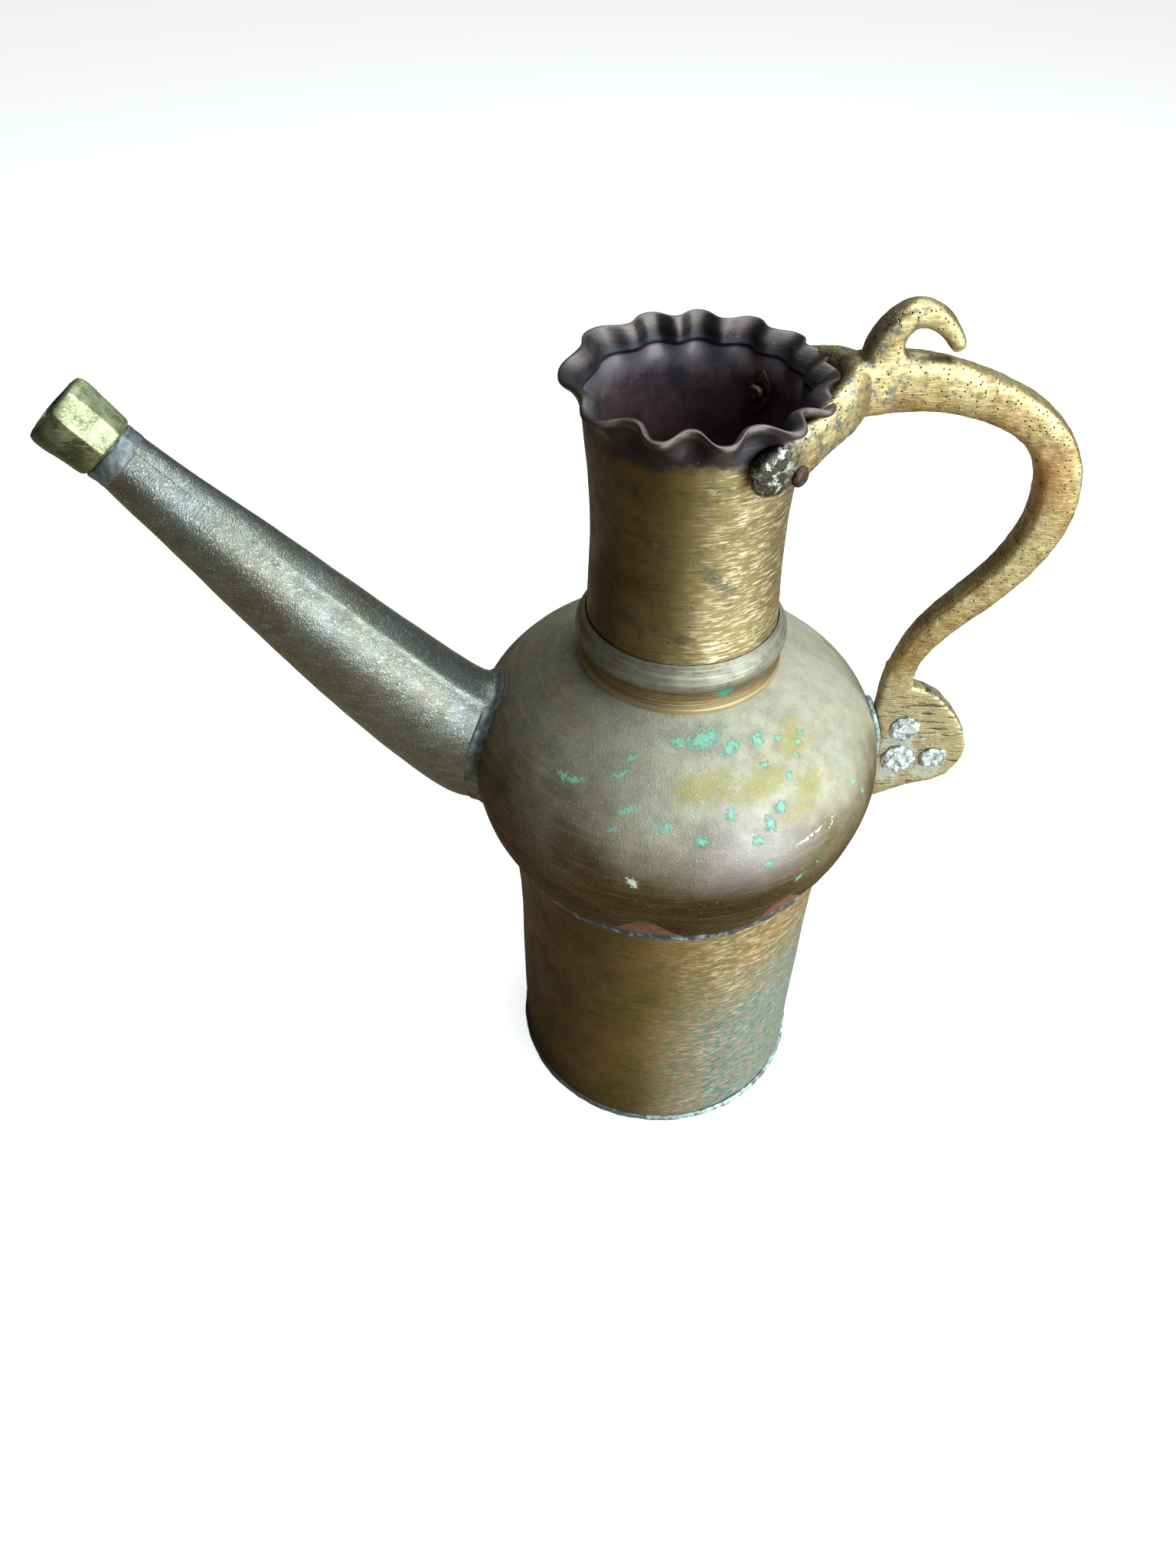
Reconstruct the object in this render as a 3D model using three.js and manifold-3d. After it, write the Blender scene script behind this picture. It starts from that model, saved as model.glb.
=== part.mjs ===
// Long-spouted copper and brass oil can: an open ewer of beaten sheet with a cast brass handle.
// Millimetres, +Z up. The origin is the centre of the base's underside; the spout leans out along -X
// and the handle stands along +X, both in the plane y = 0.
import * as THREE from "three";
import { mergeVertices } from "three/addons/utils/BufferGeometryUtils.js";
import Module from "manifold-3d";

// Sheet and fits
const SHEET = 1.2; // beaten copper and brass sheet
const FIT_GAP = 0.3; // air between two pieces that touch
const SOLDER_PROUD = 1.5; // how far a solder fillet stands off the sheet it lies on

// Lower body and base
const BODY_RADIUS = 57.5;
const BODY_STRAIGHT = 64; // the tube is straight up to here, and flares above
const BASE_THICKNESS = 1.6;
const FOOT_BEAD = 3; // height of the solder bead round the foot

// Bulb: a fuller curve above its widest ring than below it
const BELLY_RADIUS = 71.4;
const BELLY_HEIGHT = 165; // height of the widest ring
const SHOULDER_RISE = 46; // from the widest ring up to where the shoulder would close
const BELLY_DROP = 70; // from the widest ring down to where the belly would close
const SEAM_HEIGHT = 128.5; // lower edge of the bulb, lapped over the lower body
const LAP = 8; // how far the lower body goes up inside the bulb

// Neck, collar and rim
const NECK_FOOT_RADIUS = 31.2;
const NECK_WAIST_RADIUS = 29.5;
const NECK_TOP_RADIUS = 31.2; // where the flare starts
const RIM_RADIUS = 36.9; // mean of lobes and hollows
const RIM_HEIGHT = 301;
const FLARE = 22; // height of the flare under the rim
const FLUTE_HEIGHT = 13; // how far down the rim's lobes run
const FLUTE_DEPTH = 3.4; // a lobe stands this far out, and a hollow this far in
const FLUTE_DIP = 1.5; // a lobe hangs this much lower
const HEM = 6; // width of the edge folded over to the inside
const LOBE_BEARINGS = [0, 17, 37, 61, 86, 108, 137, 179, 221, 251, 276, 308, 330]; // degrees from +X
const SPIGOT = 8; // the bulb's mouth stands up inside the neck
const COLLAR_HEIGHT = 14;
const COLLAR_BAND = 2; // thickness of the collar's plain band
const COLLAR_BEAD = 3.4; // and of its bead
const COLLAR_BEAD_HALF = 4; // half the height of the bead
const COLLAR_STEP = 0.6; // the fine edge at the collar's foot stands this far out of the band

// Spout and its brass tip
const SPOUT_RISE = 49; // degrees above level
const SPOUT_ROOT_HEIGHT = 163.9; // where the spout's axis leaves the bulb
const SPOUT_FOOT = 139.5; // height of the flat underside where the spout tucks into the bulb
const SPOUT_LENGTH = 149.5;
const SPOUT_ROOT_RADIUS = 18.7;
const SPOUT_END_RADIUS = 8.2;
const SPOUT_BELLY = 0.6; // the taper swells by this much half way
const SPOUT_FILLET = 4; // width of the solder round the root
const TIP_LENGTH = 17.5;
const TIP_JOINT_RADIUS = 9.6; // over the corners
const TIP_MOUTH_RADIUS = 11.2;
const TIP_BORE = 5.2;
const TIP_BORE_FLARE = 2.2; // the bore is this much wider at the mouth
const TIP_SPIGOT = 7; // the tip's tube goes this far into the spout
const TIP_FACE = 60; // degrees taken up by each of the tip's wide faces
const TIP_SOLDER = 2.4; // length of the solder ring at the joint

// Handle, one brass casting
const GRIP_THICKNESS = 10; // across the handle's plane
const LUG_THICKNESS = 6.6;
const LUG_SEAT_TOP = 16; // the lug's edge lies on the bulb from this far above the widest ring
const LUG_SEAT_BOTTOM = 26; // to this far below it
const LUG_FILLET = 2; // width of the solder on either side of the lug
const CAST_ROUND = 1.3; // rounding of the yoke's edges
const PAD_THICKNESS = 5;
const PAD_HEIGHT = 16;
const PAD_DROP = 12.7; // from the rim down to the middle of the pads
const YOKE_RISE = 7; // the yoke's middle stands this much higher than the pads
const PAD_BEARING = 57; // degrees from the handle's plane to the middle of a pad's round end
const WEB_BEARING = 34; // and to where an arm leaves the neck for the grip
const WEB_REACH = 16; // the arms have run together this far outside the rim
const WEB_DROP = 11; // from the rim down to the web's underside
const WEB_HEIGHT = 14;
const WEB_ROOT = 4; // how deep the web goes into the arms

// Rivets
const RIVET_BEARING = 46;
const RIVET_DROP = 15.5; // below the rim
const RIVET_SHANK = 2;
const RIVET_HEAD = 3.4;
const RIVET_HEAD_HEIGHT = 1.4;
const WASHER_WIDTH = 9;
const WASHER_LENGTH = 14;
const WASHER_THICKNESS = 1;
// Lug rivets: outwards from the belly's widest ring, up from its height, and radius of the crusted head
const LUG_RIVETS = [
  [9.2, 8, 4.4],
  [9.4, -6.4, 5],
  [21.4, -5.8, 3.8],
];

// How finely round shapes are cut
const BODY_SIDES = 40;
const NECK_SIDES = 78;
const TUBE_SIDES = 20;
const RIVET_SIDES = 10;

const BRASS = { color: 0x8a744a, roughness: 0.5, metalness: 1 };
const DUSTY_BRASS = { color: 0x6f6d57, roughness: 0.65, metalness: 0.8 };
const OXIDE = { color: 0x4d4a3f, roughness: 0.5, metalness: 0.9 };
const CAST_BRASS = { color: 0xb89a5a, roughness: 0.4, metalness: 1 };
const GREEN_BRASS = { color: 0xa8a46a, roughness: 0.4, metalness: 1 };
const COPPER = { color: 0x7a4632, roughness: 0.5, metalness: 1 };
const SOLDER = { color: 0x8f958f, roughness: 0.6, metalness: 0.7 };
const CRUST = { color: 0xd0d2cc, roughness: 0.9, metalness: 0.1 };

const wasm = await Module();
wasm.setup();

const radians = THREE.MathUtils.degToRad;
const smooth = THREE.MathUtils.smoothstep;

// ---- Joining and cutting -------------------------------------------------------------------

function toSolid(geometry) {
  const bare = geometry.clone();
  bare.deleteAttribute("normal");
  bare.deleteAttribute("uv");
  const merged = mergeVertices(bare, 1e-4);
  return new wasm.Manifold(
    new wasm.Mesh({
      numProp: 3,
      vertProperties: merged.attributes.position.array,
      triVerts: new Uint32Array(merged.index.array),
    }),
  );
}

function toGeometry(solid) {
  const mesh = solid.getMesh();
  const places = new Float32Array(mesh.numVert * 3);
  for (let i = 0; i < mesh.numVert; i++) {
    const start = i * mesh.numProp;
    places.set(mesh.vertProperties.subarray(start, start + 3), i * 3);
  }
  const geometry = new THREE.BufferGeometry();
  geometry.setAttribute("position", new THREE.BufferAttribute(places, 3));
  geometry.setIndex(new THREE.BufferAttribute(mesh.triVerts, 1));
  geometry.computeVertexNormals();
  return geometry;
}

// ---- Shapes --------------------------------------------------------------------------------

const at = (x, y) => new THREE.Vector2(x, y);

// Turns an outline of (radius, height) points round +Z. It starts and ends on the axis, or closes on itself.
function revolve(outline, sides) {
  const points = outline.slice();
  if (THREE.ShapeUtils.area(points) < 0) points.reverse();
  const open = points.every((point) => point.x > 1e-6);
  if (open) points.push(points[0].clone());
  const geometry = new THREE.LatheGeometry(points, sides);
  geometry.rotateX(Math.PI / 2);
  return geometry;
}

// Carries each corner of a geometry through a function of its place.
function reshape(geometry, move) {
  const places = geometry.attributes.position;
  const corner = new THREE.Vector3();
  for (let i = 0; i < places.count; i++) {
    move(corner.fromBufferAttribute(places, i));
    places.setXYZ(i, corner.x, corner.y, corner.z);
  }
  return geometry;
}

// Radius of an outline at a height, between the two points on either side of it.
function radiusAt(outline, height) {
  const above = outline.findIndex((point) => point.y >= height);
  const upper = outline[Math.max(above, 1)];
  const lower = outline[Math.max(above, 1) - 1];
  const share = (height - lower.y) / (upper.y - lower.y);
  return THREE.MathUtils.lerp(lower.x, upper.x, share);
}

// ---- Bulb and lower body -------------------------------------------------------------------

const seamAngle = Math.asin((SEAM_HEIGHT - BELLY_HEIGHT) / BELLY_DROP);
const mouthRadius = NECK_FOOT_RADIUS - SHEET - FIT_GAP; // outside of the spigot on the bulb

// The bulb's curve, moved outwards by extra, from one angle up to another; 0 is the widest ring.
function bulbCurve(extra, from, to, steps) {
  const points = [];
  for (let i = 0; i <= steps; i++) {
    const angle = THREE.MathUtils.lerp(from, to, i / steps);
    const rise = angle > 0 ? SHOULDER_RISE : BELLY_DROP;
    const height = BELLY_HEIGHT + Math.sin(angle) * (rise + extra);
    points.push(at(Math.cos(angle) * (BELLY_RADIUS + extra), height));
  }
  return points;
}

const bulbHeightAt = (radius) =>
  BELLY_HEIGHT + SHOULDER_RISE * Math.sqrt(1 - (radius / BELLY_RADIUS) ** 2);

// The bulb filled in, with extra on every side, for cutting what stands on it.
function bulbBlock(extra) {
  const below = bulbCurve(extra, -Math.PI / 2, seamAngle, 2);
  const belly = bulbCurve(extra, seamAngle, 0, 4);
  const shoulder = bulbCurve(extra, 0, Math.PI / 2, 9);
  const outline = [...below, ...belly.slice(1), ...shoulder.slice(1)];
  outline[0].x = 0;
  outline[outline.length - 1].x = 0;
  return toSolid(revolve(outline, BODY_SIDES));
}

function basePlate() {
  const radius = BODY_RADIUS - SHEET - FIT_GAP;
  return revolve([at(0, 0), at(radius, 0), at(radius, BASE_THICKNESS), at(0, BASE_THICKNESS)], BODY_SIDES);
}

function footSolder() {
  const inside = BODY_RADIUS + FIT_GAP;
  return revolve(
    [
      at(inside, FIT_GAP),
      at(inside + SOLDER_PROUD, FIT_GAP),
      at(inside + SOLDER_PROUD * 0.7, FOOT_BEAD * 0.6),
      at(inside, FOOT_BEAD),
    ],
    BODY_SIDES,
  );
}

const seamRadius = BELLY_RADIUS * Math.cos(seamAngle); // outside of the bulb's lower edge
const lapRadius = seamRadius - SHEET - FIT_GAP; // outside of the lower body inside the lap

function lowerBodyOutline(extra) {
  const flare = new THREE.SplineCurve([
    at(BODY_RADIUS, BODY_STRAIGHT),
    at(BODY_RADIUS + 0.15 * (lapRadius - BODY_RADIUS), (BODY_STRAIGHT + SEAM_HEIGHT) / 2),
    at(lapRadius, SEAM_HEIGHT - 1),
  ]);
  const points = [at(BODY_RADIUS, 0), ...flare.getPoints(3), at(lapRadius, SEAM_HEIGHT + LAP)];
  return points.map((point) => at(point.x + extra, point.y));
}

function lowerBody() {
  return revolve([...lowerBodyOutline(0), ...lowerBodyOutline(-SHEET).reverse()], BODY_SIDES);
}

function seamSolder() {
  const inside = lapRadius + FIT_GAP;
  const top = SEAM_HEIGHT - FIT_GAP;
  return revolve(
    [at(inside, top - SOLDER_PROUD * 1.4), at(inside + SOLDER_PROUD * 0.9, top), at(inside, top)],
    BODY_SIDES,
  );
}

function upperBody() {
  const shoulderEnd = Math.acos(mouthRadius / BELLY_RADIUS);
  const mouthFoot = bulbHeightAt(mouthRadius);
  const mouthTop = mouthFoot + SPIGOT;
  const skin = (extra) => [
    ...bulbCurve(extra, seamAngle, 0, 4),
    ...bulbCurve(extra, 0, shoulderEnd, 7).slice(1),
  ];
  const inner = skin(-SHEET).filter((point) => point.x > mouthRadius - SHEET || point.y < BELLY_HEIGHT);
  const outline = [
    ...skin(0),
    at(mouthRadius, mouthTop),
    at(mouthRadius - SHEET, mouthTop),
    at(mouthRadius - SHEET, mouthFoot - SHEET),
    ...inner.reverse(),
  ];
  return toGeometry(toSolid(revolve(outline, BODY_SIDES)).subtract(spoutBlock(-SHEET, 0)));
}

// ---- Neck ----------------------------------------------------------------------------------

const neckBottom = bulbHeightAt(mouthRadius) + FIT_GAP;
const collarTop = neckBottom + COLLAR_HEIGHT;
const neckSweep = new THREE.SplineCurve([
  at(NECK_FOOT_RADIUS, collarTop),
  at(NECK_WAIST_RADIUS, (collarTop + RIM_HEIGHT - FLARE) / 2),
  at(NECK_TOP_RADIUS, RIM_HEIGHT - FLARE),
  at(NECK_TOP_RADIUS + 0.3 * (RIM_RADIUS - NECK_TOP_RADIUS), RIM_HEIGHT - FLARE / 2),
  at(RIM_RADIUS, RIM_HEIGHT - 1),
]);
// Straight over the bulb's spigot, then one sweep up to the rim.
const neckOutline = [at(NECK_FOOT_RADIUS, neckBottom), ...neckSweep.getPoints(9)];

// +1 on a lobe of the rim, -1 in a hollow, for any bearing.
function lobeWave(bearing) {
  const turn = ((bearing % 360) + 360) % 360;
  const next = LOBE_BEARINGS.findIndex((lobe) => lobe > turn);
  const after = next < 0 ? 360 + LOBE_BEARINGS[0] : LOBE_BEARINGS[next];
  const before = LOBE_BEARINGS[(next < 0 ? LOBE_BEARINGS.length : next) - 1];
  return Math.cos((2 * Math.PI * (turn - before)) / (after - before));
}

function flute(corner) {
  const radius = Math.hypot(corner.x, corner.y);
  if (radius < 1e-6) return;
  const wave = lobeWave(THREE.MathUtils.radToDeg(Math.atan2(corner.y, corner.x)));
  const share = smooth(corner.z, RIM_HEIGHT - FLUTE_HEIGHT, RIM_HEIGHT) * wave;
  const scale = (radius + share * FLUTE_DEPTH) / radius;
  corner.set(corner.x * scale, corner.y * scale, corner.z - share * FLUTE_DIP);
}

const neckInside = () =>
  neckOutline.filter((point) => point.y < RIM_HEIGHT - HEM).map((point) => at(point.x - SHEET, point.y));

function neck() {
  const lip = RIM_RADIUS - SHEET;
  const outline = [
    ...neckOutline,
    at(RIM_RADIUS - 0.2, RIM_HEIGHT + 0.5),
    at(lip, RIM_HEIGHT + 1),
    at(lip - SHEET, RIM_HEIGHT + 0.3),
    at(radiusAt(neckOutline, RIM_HEIGHT - HEM / 2) - 2 * SHEET, RIM_HEIGHT - HEM / 2),
    at(radiusAt(neckOutline, RIM_HEIGHT - HEM) - 2 * SHEET, RIM_HEIGHT - HEM),
    at(radiusAt(neckOutline, RIM_HEIGHT - HEM) - SHEET, RIM_HEIGHT - HEM - 0.4),
    ...neckInside().reverse(),
  ];
  let solid = toSolid(reshape(revolve(outline, NECK_SIDES), flute));
  for (const side of [-1, 1]) solid = solid.subtract(rivetHole(side));
  return toGeometry(solid);
}

// The neck filled in and grown by extra, and carried up past the rim, for cutting the yoke.
function neckBlock(extra) {
  const reach = RIM_HEIGHT + 60;
  const skin = neckOutline.map((point) => at(point.x + extra, point.y));
  const outline = [at(0, neckBottom), ...skin, at(RIM_RADIUS + extra, reach), at(0, reach)];
  return toSolid(reshape(revolve(outline, NECK_SIDES), flute));
}

function neckCollar() {
  const inside = NECK_FOOT_RADIUS + FIT_GAP;
  const band = inside + COLLAR_BAND;
  const bottomAt = (radius) => bulbHeightAt(radius) + 2 * FIT_GAP;
  const bead = new THREE.EllipseCurve(
    inside,
    collarTop - COLLAR_BEAD_HALF,
    COLLAR_BEAD,
    COLLAR_BEAD_HALF,
    -Math.PI / 3,
    Math.PI / 2,
  );
  const outline = [
    at(inside, bottomAt(inside)),
    at(band + COLLAR_STEP, bottomAt(band + COLLAR_STEP)),
    at(band + COLLAR_STEP, bottomAt(band) + 1),
    at(band, bottomAt(band) + 2),
    ...bead.getPoints(4),
  ];
  return revolve(outline, BODY_SIDES);
}

// ---- Spout ---------------------------------------------------------------------------------

const spoutRoot = new THREE.Vector3(
  -BELLY_RADIUS * Math.cos(Math.asin((SPOUT_ROOT_HEIGHT - BELLY_HEIGHT) / BELLY_DROP)),
  0,
  SPOUT_ROOT_HEIGHT,
);
const spoutDirection = new THREE.Vector3(-Math.cos(radians(SPOUT_RISE)), 0, Math.sin(radians(SPOUT_RISE)));

// Lays a geometry made along +Y onto the spout's axis, starting at its root.
function onSpoutAxis(geometry, along = 0) {
  const turn = new THREE.Quaternion().setFromUnitVectors(new THREE.Vector3(0, 1, 0), spoutDirection);
  geometry.applyQuaternion(turn);
  const place = spoutRoot.clone().addScaledVector(spoutDirection, along);
  return geometry.translate(place.x, place.y, place.z);
}

// Lays an outline of (radius, distance along the axis) round the spout's axis.
function roundSpout(outline, sides = TUBE_SIDES) {
  return onSpoutAxis(revolve(outline, sides).rotateX(-Math.PI / 2));
}

const spoutRadius = (share) =>
  THREE.MathUtils.lerp(SPOUT_ROOT_RADIUS, SPOUT_END_RADIUS, share) + SPOUT_BELLY * Math.sin(Math.PI * share);
const spoutBore = (share) => spoutRadius(share) - SHEET;

// The spout filled in and grown by extra, from inside the bulb to past its end. It stands on a flat foot.
function spoutBlock(extra, past) {
  const inwards = 1.4 * SPOUT_ROOT_RADIUS;
  const shares = [0, 0.25, 0.5, 0.75, 1];
  const skin = shares.map((share) => at(spoutRadius(share) + extra, share * SPOUT_LENGTH));
  const cone = roundSpout([
    at(0, -inwards),
    at(spoutRadius(0) + extra, -inwards),
    ...skin,
    at(spoutRadius(1) + extra, SPOUT_LENGTH + past),
    at(0, SPOUT_LENGTH + past),
  ]);
  const size = 4 * SPOUT_LENGTH;
  const above = new THREE.BoxGeometry(size, size, size);
  above.translate(0, 0, SPOUT_FOOT - extra + size / 2);
  return toSolid(cone).intersect(toSolid(above));
}

function spout() {
  const tube = spoutBlock(0, 0).subtract(spoutBlock(-SHEET, SHEET));
  return toGeometry(tube.subtract(bulbBlock(FIT_GAP)));
}

function spoutCollar() {
  const ring = spoutBlock(FIT_GAP + SPOUT_FILLET, 0).subtract(spoutBlock(FIT_GAP, SHEET));
  const layer = bulbBlock(FIT_GAP + SOLDER_PROUD).subtract(bulbBlock(FIT_GAP));
  return toGeometry(ring.intersect(layer));
}

// The tip is a square bar with its four corners filed off, wider at its mouth.
function tipSection(radius) {
  const section = [];
  for (let quarter = 0; quarter < 4; quarter++)
    for (const side of [-0.5, 0.5]) {
      const angle = radians(90 * quarter + side * TIP_FACE);
      section.push(at(radius * Math.cos(angle), radius * Math.sin(angle)));
    }
  return section;
}

function spoutTip() {
  const joint = SPOUT_LENGTH + FIT_GAP;
  const spigot = spoutBore(1) - FIT_GAP;
  const bar = new THREE.ExtrudeGeometry(new THREE.Shape(tipSection(TIP_JOINT_RADIUS)), {
    depth: TIP_LENGTH,
    bevelEnabled: false,
  });
  reshape(bar, (corner) => {
    const scale = THREE.MathUtils.lerp(1, TIP_MOUTH_RADIUS / TIP_JOINT_RADIUS, corner.z / TIP_LENGTH);
    corner.set(corner.x * scale, corner.y * scale, corner.z);
  });
  // Two of its faces look sideways, and two along the plane of the spout.
  bar.rotateX(-Math.PI / 2).rotateY(radians(SPOUT_RISE) - Math.PI / 2);
  const body = toSolid(onSpoutAxis(bar, joint));
  const tube = roundSpout([
    at(0, joint - TIP_SPIGOT),
    at(spigot, joint - TIP_SPIGOT),
    at(spigot, joint + 1),
    at(0, joint + 1),
  ]);
  const bore = roundSpout([
    at(0, joint - TIP_SPIGOT - 1),
    at(TIP_BORE, joint - TIP_SPIGOT - 1),
    at(TIP_BORE, joint),
    at(TIP_BORE + TIP_BORE_FLARE, joint + TIP_LENGTH + 1),
    at(0, joint + TIP_LENGTH + 1),
  ]);
  return toGeometry(body.add(toSolid(tube)).subtract(toSolid(bore)));
}

function tipSolder() {
  const top = SPOUT_LENGTH;
  const low = top - TIP_SOLDER;
  const inside = (along) => spoutRadius(along / SPOUT_LENGTH) + FIT_GAP;
  return roundSpout([at(inside(low), low), at(inside(top) + 0.9, top), at(inside(top), top)]);
}

// ---- Handle --------------------------------------------------------------------------------

// The casting's outline is a free curve, drawn through points: those at its top are held by the rim,
// and those at its foot by the belly.
const atRim = (outwards, up) => at(RIM_RADIUS + outwards, RIM_HEIGHT + up);
const atBelly = (outwards, up) => at(BELLY_RADIUS + outwards, BELLY_HEIGHT + up);

function handleOutline() {
  const outline = new THREE.Shape();
  const start = atRim(-6, -12);
  outline.moveTo(start.x, start.y);
  outline.lineTo(atRim(-6, 3).x, atRim(-6, 3).y);
  outline.lineTo(atRim(6, 3).x, atRim(6, 3).y);
  outline.splineThru([
    // back of the thumb scroll, over its top and down to its tip
    atRim(7.4, 9),
    atRim(10, 16),
    atRim(15.5, 20.8),
    atRim(20.9, 21.4),
    atRim(26.6, 19.4),
    atRim(31.5, 14.8),
    atRim(34.6, 9.4),
    atRim(34.2, 6.4),
  ]);
  outline.splineThru([
    // inside of the scroll, back to the grip
    atRim(31.4, 7.6),
    atRim(28.6, 11.4),
    atRim(25.6, 14),
    atRim(21.8, 15.4),
    atRim(18.6, 14.6),
    atRim(16.8, 12),
    atRim(17.6, 9.4),
    atRim(21.4, 7.6),
  ]);
  outline.splineThru([
    // back of the grip and of the stem
    atRim(33, 3.4),
    atRim(48, -1.2),
    atRim(64, -9.6),
    atRim(75, -21.8),
    atRim(79.2, -36),
    atRim(76.4, -51.6),
    atRim(69.4, -66),
    atBelly(25.6, 58.8),
    atBelly(14, 46.6),
    atBelly(8.6, 36),
    atBelly(8.2, 27),
  ]);
  outline.splineThru([
    // round lobe of the lug
    atBelly(13.4, 24.8),
    atBelly(20, 20),
    atBelly(28.8, 9),
    atBelly(32.6, -2),
    atBelly(31.4, -10.2),
    atBelly(25, -17),
    atBelly(14, -20.6),
    atBelly(3, -26),
  ]);
  const inside = atBelly(-12, -26);
  outline.lineTo(inside.x, inside.y);
  outline.lineTo(inside.x, atBelly(0, 12).y);
  outline.lineTo(atBelly(-3.4, 14).x, atBelly(-3.4, 14).y);
  outline.splineThru([
    // front of the stem and of the grip, up to the yoke
    atBelly(-0.8, 29),
    atBelly(0.8, 42),
    atBelly(5.4, 53),
    atBelly(16, 65),
    atRim(57.2, -65.6),
    atRim(63.6, -51.6),
    atRim(65.8, -37.6),
    atRim(63.4, -26.8),
    atRim(55.2, -17),
    atRim(44, -11),
    atRim(28, -9.2),
    atRim(12, -10.4),
  ]);
  return outline;
}

// Extrudes a flat outline in the handle's plane, centred on it.
function castFlat(outline, thickness, fineness) {
  const geometry = new THREE.ExtrudeGeometry(outline, {
    depth: thickness,
    bevelEnabled: false,
    curveSegments: fineness,
  });
  return geometry.rotateX(Math.PI / 2).translate(0, thickness / 2, 0);
}

// What is left of the casting's thickness: full at the grip, thinner at the stem and the lug.
function taperBlock() {
  const side = LUG_THICKNESS / 2;
  const full = GRIP_THICKNESS;
  const narrow = BELLY_HEIGHT + 0.3 * (RIM_HEIGHT - BELLY_HEIGHT);
  const wide = BELLY_HEIGHT + 0.6 * (RIM_HEIGHT - BELLY_HEIGHT);
  const outline = new THREE.Shape([
    at(-side, 0),
    at(side, 0),
    at(side, narrow),
    at(full, wide),
    at(full, 2 * RIM_HEIGHT),
    at(-full, 2 * RIM_HEIGHT),
    at(-full, wide),
    at(-side, narrow),
  ]);
  const geometry = new THREE.ExtrudeGeometry(outline, { depth: 4 * BELLY_RADIUS, bevelEnabled: false });
  return toSolid(geometry.rotateX(Math.PI / 2).rotateZ(Math.PI / 2));
}

const padMiddle = RIM_HEIGHT - PAD_DROP;
const padInside = radiusAt(neckOutline, padMiddle) + FIT_GAP;

// A band round the neck that rises towards the grip, kept only between its two pads.
function yokeBand() {
  const half = PAD_HEIGHT / 2;
  const inner = padInside - PAD_THICKNESS; // the neck's own shape is cut out of it later
  const outer = padInside + PAD_THICKNESS;
  const band = revolve(
    [
      at(inner, -half),
      at(outer - CAST_ROUND, -half),
      at(outer, -half + CAST_ROUND),
      at(outer, half - CAST_ROUND),
      at(outer - CAST_ROUND, half),
      at(inner, half),
    ],
    NECK_SIDES,
  );
  reshape(band, (corner) => {
    const bearing = Math.abs(Math.atan2(corner.y, corner.x));
    corner.z += padMiddle + YOKE_RISE * (1 - smooth(bearing, 0, radians(PAD_BEARING)));
  });
  const far = 4 * outer;
  const spread = radians(PAD_BEARING);
  const wedge = new THREE.Shape([
    at(0, 0),
    at(far * Math.cos(spread), -far * Math.sin(spread)),
    at(far, 0),
    at(far * Math.cos(spread), far * Math.sin(spread)),
  ]);
  const keep = new THREE.ExtrudeGeometry(wedge, { depth: 2 * RIM_HEIGHT, bevelEnabled: false });
  return toSolid(band).intersect(toSolid(keep));
}

// Round end of a yoke arm, like the tip of a thumb laid on the neck.
function padEnd(side) {
  const depth = 2 * PAD_THICKNESS;
  const thumb = new THREE.CylinderGeometry(PAD_HEIGHT / 2 - 1, PAD_HEIGHT / 2, depth, TUBE_SIDES);
  const outer = padInside + PAD_THICKNESS;
  thumb.rotateZ(-Math.PI / 2).translate(outer - depth / 2 + 1, 0, padMiddle);
  const round = revolve([at(0, 0), at(outer, 0), at(outer, RIM_HEIGHT), at(0, RIM_HEIGHT)], NECK_SIDES);
  return toSolid(thumb.rotateZ(side * radians(PAD_BEARING))).intersect(toSolid(round));
}

// Where the arms run together into the grip.
function yokeWeb() {
  const reach = RIM_RADIUS + WEB_REACH;
  const outer = padInside + PAD_THICKNESS;
  const spread = radians(WEB_BEARING);
  const web = new THREE.Shape([
    at(outer * Math.cos(spread) - WEB_ROOT, -outer * Math.sin(spread)),
    at(outer * Math.cos(spread), -outer * Math.sin(spread)),
    at(reach, -GRIP_THICKNESS / 2 + CAST_ROUND),
    at(reach, GRIP_THICKNESS / 2 - CAST_ROUND),
    at(outer * Math.cos(spread), outer * Math.sin(spread)),
    at(outer * Math.cos(spread) - WEB_ROOT, outer * Math.sin(spread)),
  ]);
  const geometry = new THREE.ExtrudeGeometry(web, { depth: WEB_HEIGHT, bevelEnabled: false });
  return toSolid(geometry.translate(0, 0, RIM_HEIGHT - WEB_DROP));
}

function handle() {
  let solid = toSolid(castFlat(handleOutline(), GRIP_THICKNESS, 2)).intersect(taperBlock());
  solid = solid.add(yokeBand()).add(padEnd(-1)).add(padEnd(1)).add(yokeWeb());
  solid = solid.subtract(neckBlock(FIT_GAP)).subtract(bulbBlock(2 * FIT_GAP + SOLDER_PROUD));
  for (const side of [-1, 1]) solid = solid.subtract(rivetHole(side));
  for (const [outwards, up] of LUG_RIVETS) {
    const hole = new THREE.CylinderGeometry(
      RIVET_SHANK + FIT_GAP,
      RIVET_SHANK + FIT_GAP,
      2 * GRIP_THICKNESS,
      RIVET_SIDES,
    );
    solid = solid.subtract(toSolid(hole.translate(BELLY_RADIUS + outwards, 0, BELLY_HEIGHT + up)));
  }
  return toGeometry(solid);
}

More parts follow.
